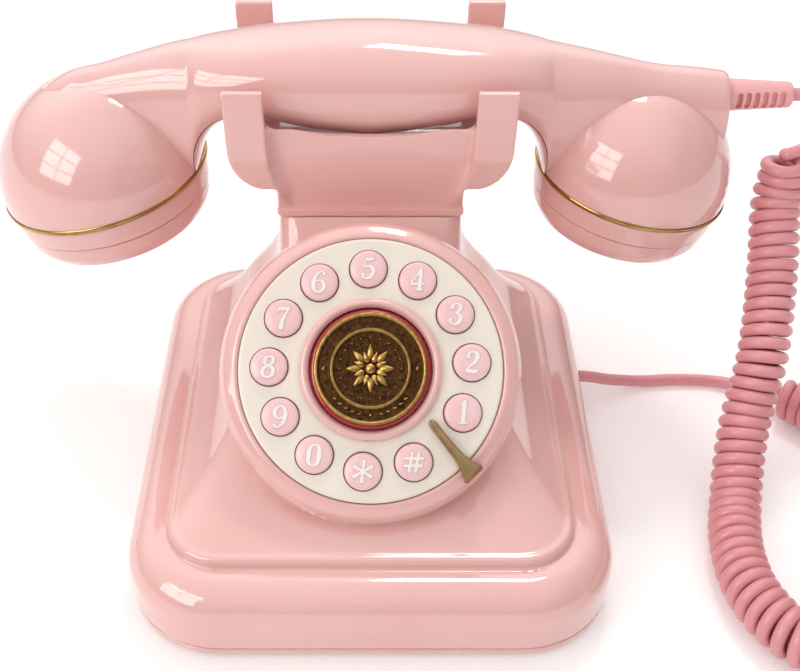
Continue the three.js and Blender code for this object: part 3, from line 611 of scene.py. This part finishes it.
# Strokes of the twelve figures: (x, y, width) in shares of the figure's height, y from -0.5 to 0.5.
STROKES = {
    "1": [[(0.03, 0.5, 0.17), (0.03, 0.1, 0.19), (0.03, -0.44, 0.19)],
          [(-0.2, -0.46, 0.09), (0.26, -0.46, 0.09)],
          [(-0.17, 0.34, 0.08), (-0.04, 0.4, 0.12), (0.03, 0.46, 0.14)]],
    "2": [[(-0.2, 0.26, 0.2), (-0.2, 0.38, 0.11), (-0.04, 0.48, 0.09), (0.14, 0.44, 0.15), (0.22, 0.26, 0.2),
           (0.12, 0.02, 0.16), (-0.1, -0.2, 0.1), (-0.26, -0.4, 0.08)],
          [(-0.26, -0.42, 0.12), (-0.05, -0.4, 0.17), (0.18, -0.43, 0.16), (0.28, -0.3, 0.06)]],
    "3": [[(-0.19, 0.3, 0.18), (-0.12, 0.44, 0.1), (0.03, 0.48, 0.09), (0.2, 0.34, 0.18), (0.14, 0.14, 0.13),
           (-0.02, 0.05, 0.08)],
          [(-0.02, 0.05, 0.08), (0.16, -0.02, 0.12), (0.25, -0.2, 0.2), (0.14, -0.42, 0.15),
           (-0.04, -0.48, 0.09), (-0.18, -0.4, 0.1), (-0.22, -0.27, 0.18)]],
    "4": [[(0.11, 0.48, 0.16), (0.11, -0.44, 0.18)], [(0.08, 0.46, 0.09), (-0.28, -0.16, 0.08)],
          [(-0.3, -0.19, 0.1), (0.32, -0.19, 0.1)], [(-0.06, -0.46, 0.08), (0.27, -0.46, 0.08)]],
    "5": [[(-0.17, 0.44, 0.12), (0.02, 0.41, 0.14), (0.22, 0.46, 0.13)],
          [(-0.17, 0.44, 0.07), (-0.2, 0.03, 0.07)],
          [(-0.19, 0.03, 0.07), (0, 0.11, 0.1), (0.18, 0.02, 0.16), (0.25, -0.18, 0.2), (0.13, -0.42, 0.14),
           (-0.05, -0.48, 0.09), (-0.19, -0.4, 0.1), (-0.22, -0.28, 0.17)]],
    "6": [[(0.19, 0.38, 0.16), (0.1, 0.48, 0.09), (-0.06, 0.44, 0.1), (-0.22, 0.2, 0.17), (-0.26, -0.1, 0.2),
           (-0.18, -0.38, 0.15), (0.01, -0.48, 0.09), (0.2, -0.36, 0.16), (0.24, -0.16, 0.19),
           (0.13, 0.04, 0.12), (-0.04, 0.08, 0.08), (-0.2, -0.04, 0.09)]],
    "7": [[(-0.24, 0.24, 0.06), (-0.22, 0.42, 0.13), (0, 0.4, 0.16), (0.26, 0.45, 0.12)],
          [(0.27, 0.44, 0.08), (0.1, 0.14, 0.12), (0, -0.16, 0.18), (-0.03, -0.46, 0.21)]],
    "8": [[(0, 0.48, 0.09), (0.18, 0.38, 0.16), (0.17, 0.18, 0.15), (0, 0.05, 0.1), (-0.18, 0.18, 0.16),
           (-0.17, 0.38, 0.15), (0, 0.48, 0.09)],
          [(0, 0.05, 0.1), (0.22, -0.1, 0.17), (0.22, -0.36, 0.17), (0, -0.48, 0.09), (-0.22, -0.36, 0.17),
           (-0.22, -0.1, 0.16), (0, 0.05, 0.1)]],
    "0": [[(0, 0.48, 0.08), (0.2, 0.34, 0.16), (0.24, 0, 0.2), (0.2, -0.34, 0.16), (0, -0.48, 0.08),
           (-0.2, -0.34, 0.16), (-0.24, 0, 0.2), (-0.2, 0.34, 0.16), (0, 0.48, 0.08)]],
    "star": [[(0.44 * math.sin(a), 0.44 * math.cos(a), 0.18), (0.1 * math.sin(a), 0.1 * math.cos(a), 0.1),
              (0, 0, 0.1)] for a in (math.tau * k / 6 for k in range(6))],
    "hash": [[(-0.17, -0.47, 0.13), (-0.11, 0.47, 0.13)], [(0.13, -0.47, 0.13), (0.19, 0.47, 0.13)],
             [(-0.44, 0.17, 0.13), (0.48, 0.17, 0.13)], [(-0.48, -0.16, 0.13), (0.44, -0.16, 0.13)]],
}
STROKES["9"] = [[(-x, -y, w) for x, y, w in stroke] for stroke in STROKES["6"]]
FIGURE_HEIGHT = 6.1
FIGURE_SLANT = 0.12
FIGURE_WEIGHT = 1.05


def figure(name, strokes, grow, low, high, material, place):
    """One figure as a low relief: its strokes are ribbons, melted into one body."""
    verts, faces = [], []
    for stroke in strokes:
        points = [Vector((x + FIGURE_SLANT * y, y, width * FIGURE_WEIGHT)) for x, y, width in stroke]
        if len(points) > 2:
            points = smooth_path(points, 0.04)
        left, right = [], []
        for i, p in enumerate(points):
            ahead = (points[min(i + 1, len(points) - 1)] - points[max(i - 1, 0)]).to_2d().normalized()
            across = Vector((-ahead.y, ahead.x)) * (p.z / 2 * FIGURE_HEIGHT + grow)
            middle = p.to_2d() * FIGURE_HEIGHT
            if i in (0, len(points) - 1):
                middle += ahead * (grow if i else -grow)
            left.append(middle + across)
            right.append(middle - across)
        for i in range(len(left) - 1):
            quad = (left[i], left[i + 1], right[i + 1], right[i])
            base = len(verts)
            verts += [(p.x, p.y, z) for z in (low, high) for p in quad]
            faces += [(base + a, base + b, base + c, base + d) for a, b, c, d in (
                (3, 2, 1, 0), (4, 5, 6, 7), (0, 1, 5, 4), (1, 2, 6, 5), (2, 3, 7, 6), (3, 0, 4, 7))]
        for end in (0, -1):
            if points[end].z > 0.15:
                centre = points[end].to_2d() * FIGURE_HEIGHT
                radius = points[end].z / 2 * FIGURE_HEIGHT + grow
                angles = [math.tau * k / 16 for k in range(16)]
                ring = [centre + radius * Vector((math.cos(a), math.sin(a))) for a in angles]
                disc, disc_faces = skin([[(p.x, p.y, z) for p in ring] for z in (low, high)])
                faces += [tuple(len(verts) + k for k in face) for face in disc_faces]
                verts += disc
    obj = piece(name, verts, faces, material, place)
    return melt(obj, 0.09, 2)


def keys():
    profile = [(0, -4.4), (6.2, -4.4), (6.2, -2.8), (KEY_RADIUS, -2.8)] + rounded(
        [(KEY_RADIUS, -2.6, 0), (KEY_RADIUS, 2.35, 0.9), (3.0, 2.7, 4), (0, 2.72, 0)])
    for i, name in enumerate(KEYS):
        x, y = key_spot(i)
        place = DIAL @ Matrix.Translation((x, y, 0))
        cap = turned(f"key_{name}_cap", profile, KEY_PINK, place, 64)
        settle(cap, f"key_{name}", "key_pink", f"key_{name}")
        # A slightly wider copy of each figure in darker pink lies under the white one: painted shade for the
        # groove's shadow round the figure.
        edge = figure(f"key_{name}_figure_painted_shade", STROKES[name], 0.14, 2.4, 2.76, FIGURE_PAINTED_SHADE, place)
        settle(edge, f"key_{name}", "key_pink")
        white = figure(f"key_{name}_figure", STROKES[name], 0, 2.45, 2.9, FIGURE_WHITE, place)
        settle(white, f"key_{name}", "key_pink")


def dial_centre():
    ring = rounded([(17.3, -3.3, 0), (17.3, 2.7, 0.5), (18.1, 3.7, 1.2), (19.4, 3.6, 1.2), (20.0, 2.2, 0.8),
                    (20.0, 1.35, 0.2), (18.7, 1.35, 0.2), (18.7, -3.3, 0)])
    cup = turned("centre_ring_moulding", ring, PINK, DIAL, 128, closed=True)
    notch = [(-1.35, -20.8), (1.35, -20.8), (1.35, -19.2), (-1.35, -19.2)]
    combine(cup, extruded("notch", notch, 1.0, 3.0, PINK, DIAL), "DIFFERENCE")
    tidy(cup, 30)
    settle(cup, "base", "pink_shell", "centre_ring")
    bulge = rounded([(17.0, -3, 0), (17.0, 2.4, 0.6), (16.2, 3.6, 1.0), (15.2, 3.4, 0.3), (0, 3.2, 0)])
    lens = turned("indicator_lens", [(0, -3)] + bulge, RED_LENS, DIAL, 128)
    settle(lens, "base", "red_lens", "indicator_ring")


def medallion():
    rims = rounded([(15.6, 3.5, 0), (15.9, 4.2, 0.3), (15.7, 5.2, 0.5), (14.9, 5.25, 0.4), (14.3, 4.55, 0.4),
                    (11.6, 4.55, 0.3), (11.1, 5.05, 0.25), (10.5, 5.05, 0.25), (10.1, 4.55, 0.3),
                    (0, 4.5, 0)])
    disc = turned("medallion_disc", [(0, 3.5)] + rims, ANTIQUE, DIAL, 128)
    settle(disc, "base", "antique_brass", "medallion")
    verts, faces = [], []

    def lump(x, y, long, wide, high, angle, point=0.0):
        """A leaf-shaped lump: an ellipse drawn to a point at its far end."""
        rows, around = 6, 20
        base = len(verts)
        c, s = math.cos(angle), math.sin(angle)
        for r in range(rows + 1):
            lift = math.sin(math.pi / 2 * r / rows)
            size = math.cos(math.pi / 2 * r / rows)
            for k in range(around):
                a = math.tau * k / around
                u = long * size * math.cos(a)
                v = wide * size * math.sin(a) * (1 - point * math.cos(a))
                verts.append((x + u * c - v * s, y + u * s + v * c, 4.3 + (high + 0.3) * lift))
        for r in range(rows):
            for k in range(around):
                n = (k + 1) % around
                faces.append((base + r * around + k, base + r * around + n,
                              base + (r + 1) * around + n, base + (r + 1) * around + k))
        faces.append(tuple(base + k for k in reversed(range(around))))

    for count, radius, long, wide, high, turn in ((8, 4.6, 2.5, 1.15, 0.75, 0), (8, 3.4, 1.9, 0.9, 1.0, 0.5)):
        for k in range(count):
            a = math.tau * (k + turn) / count
            lump(radius * math.cos(a), radius * math.sin(a), long, wide, high, a, 0.45)
    for k in range(20):
        a = math.tau * k / 20
        lump(8.6 * math.cos(a), 8.6 * math.sin(a), 0.42, 0.42, 0.5, a)
    lump(0, 0, 1.7, 1.7, 1.3, 0)
    for side in (-1, 1):
        lump(side * 13, 0, 0.75, 0.75, 0.55, 0)
        for k in range(5):
            a = math.radians(-90 + side * (14 + 9 * k))
            lump(12.9 * math.cos(a), 12.9 * math.sin(a), 1.0, 0.42, 0.5, a + side * math.radians(62), 0.4)
    lump(0, -12.9, 0.6, 0.6, 0.6, 0)
    relief = piece("medallion_rosette", verts, faces, ANTIQUE, DIAL, 50)
    settle(relief, "base", "antique_brass")


def finger_stop():
    """A brass blade that narrows towards the dial's centre and folds over the bezel's lip."""
    turn = DIAL @ Matrix.Rotation(math.radians(-STOP_ANGLE), 4, "Z")
    rings = []
    tip = 0.07  # the share of the blade's length that its round tip takes
    for k in range(33):
        t = k / 32
        reach = 21.6 + t * 18.7
        drift = -1.7 * (1 - t) ** 1.5
        half = 1.2 + 0.3 * t + 1.7 * t**6
        if t < tip:
            half *= math.sqrt(max(1 - ((tip - t) / tip) ** 2, 0.02))
        height = 3.9 - 0.9 * t
        section = [(-half, -0.45), (-half, 0.05), (-half + 0.3, 0.4), (-0.3 * half, 0.52), (0.3 * half, 0.52),
                   (half - 0.3, 0.4), (half, 0.05), (half, -0.45)]
        rings.append([(drift + x, reach, height + z) for x, z in section])
    section = [(-3.2, 0.5), (-3.2, 0.1), (-2.9, -0.35), (-0.9, -0.4), (0.9, -0.4), (2.9, -0.35), (3.2, 0.1),
               (3.2, 0.5)]
    for reach, height in ((40.9, 2.5), (41.4, 1.8), (41.5, 0.6), (41.4, -0.6), (41.2, -1.8)):
        rings.append([(x, reach - 0.35 - z * 0.9, height) for x, z in section])
    blade = piece("finger_stop_blade", *skin(rings), STOP_BRASS, turn, 40)
    return settle(blade, "base", "brass", "finger_stop")


# ---------------------------------------------------------------- handset
# The arm's top and underside and half its depth, each along X.
ARM_TOP = spline([(-108, 98.5), (-104, 107.5), (-98, 114.6), (-90, 119.8), (-80, 122.4), (-70, 125.5),
                  (-57, 129), (-43, 130.9), (-25, 132.9), (-10, 134.1), (3, 134.3), (15, 133.6),
                  (29, 132.3), (41, 131.1), (55, 128.7), (69, 125.8), (85, 122.2), (98, 120.9),
                  (108, 119.4)])
ARM_LOW = spline([(0, 103.3), (20, 106.3), (31, 109), (37, 109.3), (42, 108.2), (46, 105.8), (49, 102),
                  (51, 97), (52.2, 91), (53, 86)])
ARM_DEEP = spline([(-108, 3), (-104, 5), (-97, 7.5), (-88, 8.8), (-80, 9.6), (-60, 12.8), (-45, 15.6),
                   (-25, 18.6), (0, 19.5), (25, 18.6), (45, 15.6), (60, 12.8), (80, 9.6), (108, 9.4)])
ARM_SQUARENESS = 2.3


def squared(value):
    """A cosine or sine bent so that the round section grows squarer."""
    return math.copysign(abs(value) ** (2 / ARM_SQUARENESS), value)


def arm():
    rings = []
    count = 321
    edge = 2  # the right end's edge is rounded over this length
    for i in range(count + 1):
        x = ARM_END * (2 * i / count - 1)
        inset = 0
        if x > ARM_END - edge:
            inset = 1.6 * (1 - math.sqrt(max(1 - ((x - ARM_END + edge) / edge) ** 2, 0)))
        top = ARM_TOP(x) - inset
        low = ARM_LOW(abs(x)) + 0.7 * max(-92 - x, 0)
        deep = ARM_DEEP(x) - inset
        middle, half = (top + low) / 2, (top - low) / 2
        angles = [math.tau * k / 96 for k in range(96)]
        rings.append([(x, CRADLE_Y + deep * squared(math.cos(a)), middle + half * squared(math.sin(a)))
                      for a in angles])
    return piece("handset_top", *skin(rings), PINK)


def dome_profile(radius):
    """A half ellipse above the ring plane."""
    out = [(0, 0.8), (radius, 0.8)]
    for k in range(37):
        a = math.radians(2.5 * k)
        out.append((radius * math.cos(a) if k < 36 else 0, 1 + (DOME_HEIGHT - 1) * math.sin(a)))
    return out


def below_ring(dome):
    """What of the arm would hang below a dome's ring plane."""
    outline = [(-60, -60), (60, -60), (60, 0.95), (-60, 0.95)]
    return extruded("below", outline, -60, 60, PINK, dome_place(dome), axes="XZY")


def seam_cutter(grow):
    """The underside shell's outline seen from the front, just above the arch and down both its legs."""
    right = [(0, 106.6), (20, 108.6), (34, 112), (38, 112.3), (43.9, 111.2), (47.3, 109.2), (50, 106.5),
             (51.8, 103.1), (52.7, 100), (53.2, 94.4), (53.4, 84)]
    edge = smooth_path([Vector((x, z, 0)) for x, z in right], 1.0)
    outline = [(p.x + grow * 0.7, p.y + grow) for p in edge]
    outline.append((outline[-1][0], 60))
    outline = [(-x, z) for x, z in reversed(outline[1:])] + outline
    return extruded("seam", outline, 0, 90, PINK, axes="XZY")


def handset():
    top = arm()
    for dome in (RECEIVER, TRANSMITTER):
        combine(top, below_ring(dome), "DIFFERENCE")
    for dome in (RECEIVER, TRANSMITTER):
        combine(top, turned("dome", dome_profile(dome[3]), PINK, dome_place(dome), 160), "UNION")
    bottom = bpy.data.objects.new("handset_bottom", top.data.copy())
    bpy.context.scene.collection.objects.link(bottom)
    combine(top, seam_cutter(0.28), "DIFFERENCE")
    combine(bottom, seam_cutter(0), "INTERSECT")
    for obj, nodes in ((top, "handset_top_shell"), (bottom, "handset_bottom_shell")):
        tidy(obj, 30)
        settle(obj, "handset", "pink_shell", nodes)


def ear_and_mouth():
    for name, dome in (("receiver", RECEIVER), ("transmitter", TRANSMITTER)):
        place, r = dome_place(dome), dome[3]
        trim = rounded([(r - 2, -0.85, 0), (r + 0.45, -0.85, 0.7), (r + 0.45, 0.85, 0.7), (r - 2, 0.85, 0)])
        ring = turned(f"{name}_trim", trim, BRASS, place, 160, closed=True)
        settle(ring, "handset", "brass", f"{name}_trim_ring")
        collar = rounded([(r - 5, -0.95, 0), (r - 0.6, -0.95, 0.5), (r - 0.5, -2.2, 1), (r - 1.1, -7.5, 0.45),
                          (r - 2, -7.6, 0.3), (r - 5, -7.6, 0)])
        band = turned(f"{name}_band", collar, PINK, place, 160, closed=True)
        settle(band, "handset", "pink_shell", f"{name}_collar")
        cap = rounded([(r - 2.6, -7.9, 0), (r - 1.6, -8.05, 0.4), (r - 2.5, -12.6, 4), (r - 5, -16.6, 3),
                       (r - 9, -16.3, 1.5), (r - 13, -15.6, 4), (0, -15.4, 0)])
        face = turned(f"{name}_face", [(0, -7.9)] + cap, PINK, place, 160)
        hole = [(0, -20), (1.5, -20), (1.5, -11), (0, -11)]
        spots = [(7 * math.cos(math.tau * k / 6), 7 * math.sin(math.tau * k / 6), 0) for k in range(6)]
        for spot in spots + [(0, 0, 0)]:
            combine(face, turned("hole", hole, PINK, place @ Matrix.Translation(spot), 24), "DIFFERENCE")
        tidy(face, 30)
        settle(face, "handset", "pink_shell", f"{name}_cap")


# ---------------------------------------------------------------- cord
BOOT_LENGTH = 19.5
COIL_REST = COIL_RADIUS + 0.4
# The cord's path: from the boot, down through the coil, along the table and into the base.
LEAD = [(ARM_END + BOOT_LENGTH - 1, 42.8, BOOT_Z), (ARM_END + BOOT_LENGTH + 4, 42.8, BOOT_Z),
        (138, 42.8, 112), (144.5, 42.4, 109), (146.5, 42, 104), (143.5, 41.6, 99), (137, 41.2, 96)]
COIL = [(130, 41, 93), (129.5, 40.5, 86), (128, 37, 76), (127, 25, 62), (123, 5, 43), (117, -10, 24),
        (113, -28, 10.5), (110, -45, COIL_REST), (111, -62, COIL_REST), (119, -77, COIL_REST),
        (133, -84, COIL_REST), (150, -78, COIL_REST), (163, -60, COIL_REST), (168, -35, COIL_REST),
        (163, -8, COIL_REST), (152, 12, COIL_REST), (140, 24, COIL_REST)]
TAIL = [(135.5, 28.6, 5.2), (130, 33, 3.4), (121, 36.8, 2.2), (108, 37.6, 2.2), (96, 36.4, 2.6),
        (84, 34.2, 5.2), (76.5, 33, 7.6), (69, 33, 8.2)]


def handset_cord():
    """One wire: a lead from the handset, the coil, and a lead to the base."""
    lead = smooth_path([Vector(p) for p in LEAD + COIL[:1]], 1.0)
    tail = smooth_path([Vector(p) for p in COIL[-1:] + TAIL], 1.0)
    step = 0.15
    centre = carried_frames(smooth_path([Vector(p) for p in COIL], step))
    length = step * len(centre)
    wound = []
    for i, (point, n, b) in enumerate(centre):
        along = step * i
        ramp = min(1, along / COIL_PITCH, (length - along) / COIL_PITCH)
        a = math.tau * along / COIL_PITCH
        radius = (COIL_RADIUS - CORD_RADIUS) * ramp
        wound.append(point + radius * (math.cos(a) * n + math.sin(a) * b))
    path = lead[:-1] + wound + tail[1:]
    cord = wire("handset_cord", path, CORD_RADIUS, CORD_PINK)
    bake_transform(cord)
    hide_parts("coiled_cord", "cord_lead_handset", "cord_lead_base")


def boot():
    """A tapered sleeve with six slots through its front and back flanks, and rails left above and below."""
    start = ARM_END - 0.1
    tip = start + BOOT_LENGTH
    flank = rounded([(4.4, start, 0), (4.95, start, 0.4), (4.78, start + 1.5, 1), (3.8, tip, 1.0),
                     (2.0, tip, 0)])
    outline = [(0, start - 2), (4.4, start - 2), (4.4, start)] + flank + [(0, tip)]
    place = PHONE @ Matrix.Translation((0, CRADLE_Y, BOOT_Z)) @ Matrix.Rotation(math.pi / 2, 4, "Y")
    sleeve = turned("cord_boot_sleeve", outline, BOOT_PINK, place, 96)
    slots = 6
    pitch = (BOOT_LENGTH - 4) / slots
    for k in range(slots):
        low = start + 2.3 + k * pitch
        high = low + 1.7
        slot = rounded([(-2.6, low, 0.8), (2.6, low, 0.8), (2.6, high, 0.8), (-2.6, high, 0.8)], closed=True)
        for inner, outer in ((-8, -2.6), (2.6, 8)):
            cutter = extruded("slot", slot, inner, outer, BOOT_PINK, place, axes="XZY")
            combine(sleeve, cutter, "DIFFERENCE")
    tidy(sleeve, 30)
    settle(sleeve, "handset", "cord_pink", "cord_boot")


# ---------------------------------------------------------------- stage
CAMERA_AT = (0, -290.1, 296.4)
CAMERA_PITCH = 39.89
FOCAL_MM, SENSOR_MM = 55.86, 36
SHIFT_X = 0.0369


def camera():
    data = bpy.data.cameras.new("camera")
    data.lens = FOCAL_MM
    data.sensor_width = SENSOR_MM
    data.shift_x = SHIFT_X
    obj = bpy.data.objects.new("camera", data)
    obj.location = P(*CAMERA_AT)
    obj.rotation_euler = (math.radians(90 - CAMERA_PITCH), 0, 0)
    bpy.context.scene.collection.objects.link(obj)
    bpy.context.scene.camera = obj


def area_light(name, at, aim, size, power, color=(1, 1, 1)):
    data = bpy.data.lights.new(name, "AREA")
    data.shape = "RECTANGLE"
    data.size, data.size_y = size[0] * MM, size[1] * MM
    data.energy = power
    data.color = color
    obj = bpy.data.objects.new(name, data)
    obj.location = P(*at)
    direction = P(*aim) - P(*at)
    obj.rotation_euler = direction.to_track_quat("-Z", "Y").to_euler()
    bpy.context.scene.collection.objects.link(obj)
    return obj


def window(at, aim, pane, gap, power):
    """Bright panes, two wide and three high, seen only in the gloss, and the soft light they throw."""
    turn = (P(*aim) - P(*at)).to_track_quat("-Z", "Y")
    for column in range(2):
        for row in range(3):
            light = area_light(f"window_{column}_{row}", at, aim, pane, power, (1.0, 0.97, 0.93))
            across, up = (column - 0.5) * (pane[0] + gap) * MM, (row - 1) * (pane[1] + gap) * MM
            light.location = light.location + turn @ Vector((across, up, 0))
            light.rotation_euler = turn.to_euler()
            light.visible_diffuse = False
    glow = area_light("window_glow", at, aim, (2 * pane[0], 3 * pane[1]), 2.6 * power, (1.0, 0.95, 0.9))
    glow.visible_glossy = False


def stage():
    size = 6.0
    verts = [(x * size, y * size, FLOOR_Z) for x, y in ((-1, -1), (1, -1), (1, 1), (-1, 1))]
    floor = piece("floor", verts, [(0, 1, 2, 3)], None, Matrix.Identity(4))
    s = Shader("floor_white")
    cloudy = s.spread(s.noise(2, 2), 0, 1)
    s.link(s.mix(cloudy, (0.92, 0.92, 0.92, 1), (0.89, 0.89, 0.89, 1)), s.surface.inputs["Base Color"])
    s.set(Roughness=0.9, Emission_Color=(1, 1, 1, 1), Emission_Strength=0.16)
    s.surface.inputs["Specular IOR Level"].default_value = 0.1
    floor.data.materials.append(s.material)
    world = bpy.data.worlds.new("studio")
    bpy.context.scene.world = world
    world.use_nodes = True
    tree = world.node_tree
    # A soft sky lights the surfaces; the gloss sees a room that is brighter behind and darker on the right.
    direction = tree.nodes.new("ShaderNodeSeparateXYZ")
    tree.links.new(tree.nodes.new("ShaderNodeTexCoord").outputs["Generated"], direction.inputs[0])

    def ramp(socket, *stops, tint=(1, 1, 1)):
        node = tree.nodes.new("ShaderNodeValToRGB")
        tree.links.new(socket, node.inputs["Fac"])
        for i, (position, level) in enumerate(stops):
            stop = node.color_ramp.elements[i] if i < 2 else node.color_ramp.elements.new(position)
            stop.position = position
            stop.color = (level * tint[0], level * tint[1], level * tint[2], 1)
        return node.outputs["Color"]

    def blend(kind, factor, a, b):
        node = tree.nodes.new("ShaderNodeMix")
        node.data_type, node.blend_type = "RGBA", kind
        for slot, value in zip((0, 6, 7), (factor, a, b)):
            if isinstance(value, bpy.types.NodeSocket):
                tree.links.new(value, node.inputs[slot])
            else:
                node.inputs[slot].default_value = value
        return node.outputs[2]

    def halved(socket):
        """A direction from -1..1 brought to 0..1."""
        node = tree.nodes.new("ShaderNodeMath")
        node.operation = "MULTIPLY_ADD"
        tree.links.new(socket, node.inputs[0])
        node.inputs[1].default_value = 0.5
        node.inputs[2].default_value = 0.5
        return node.outputs["Value"]

    across = halved(direction.outputs["X"])
    soft = ramp(direction.outputs["Z"], (0, 0.34), (1.0, 1.36), tint=(1, 0.985, 0.975))
    soft = blend("MULTIPLY", 1.0, soft, ramp(across, (0.1, 1.04), (0.95, 0.66), (0.6, 1.0)))
    room = ramp(direction.outputs["Z"], (0, 0.1), (0.75, 1.3), (0.3, 0.46), tint=(0.97, 0.99, 1.0))
    depth = ramp(halved(direction.outputs["Y"]), (0, 0.55), (1.0, 3.0), (0.6, 1.15))
    room = blend("MULTIPLY", 1.0, room, depth)
    room = blend("MULTIPLY", 1.0, room, ramp(across, (0.1, 1.12), (0.95, 0.35), (0.7, 0.92)))
    gloss = tree.nodes.new("ShaderNodeLightPath").outputs["Is Glossy Ray"]
    tree.links.new(blend("MIX", gloss, soft, room), tree.nodes["Background"].inputs["Color"])
    tree.nodes["Background"].inputs["Strength"].default_value = 0.95
    window((-620, -500, 560), (0, 20, 90), (290, 170), 22, 0.85)
    area_light("back", (110, 420, 900), (0, 20, 90), (210, 130), 1.7, (1.0, 0.98, 0.95))
    bpy.context.scene.view_settings.view_transform = "Standard"


dress_frame()
housing()
base_plate()
cradle()
hook_plunger()
dial_plate()
keys()
dial_centre()
medallion()
finger_stop()
handset()
ear_and_mouth()
handset_cord()
boot()
camera()
stage()
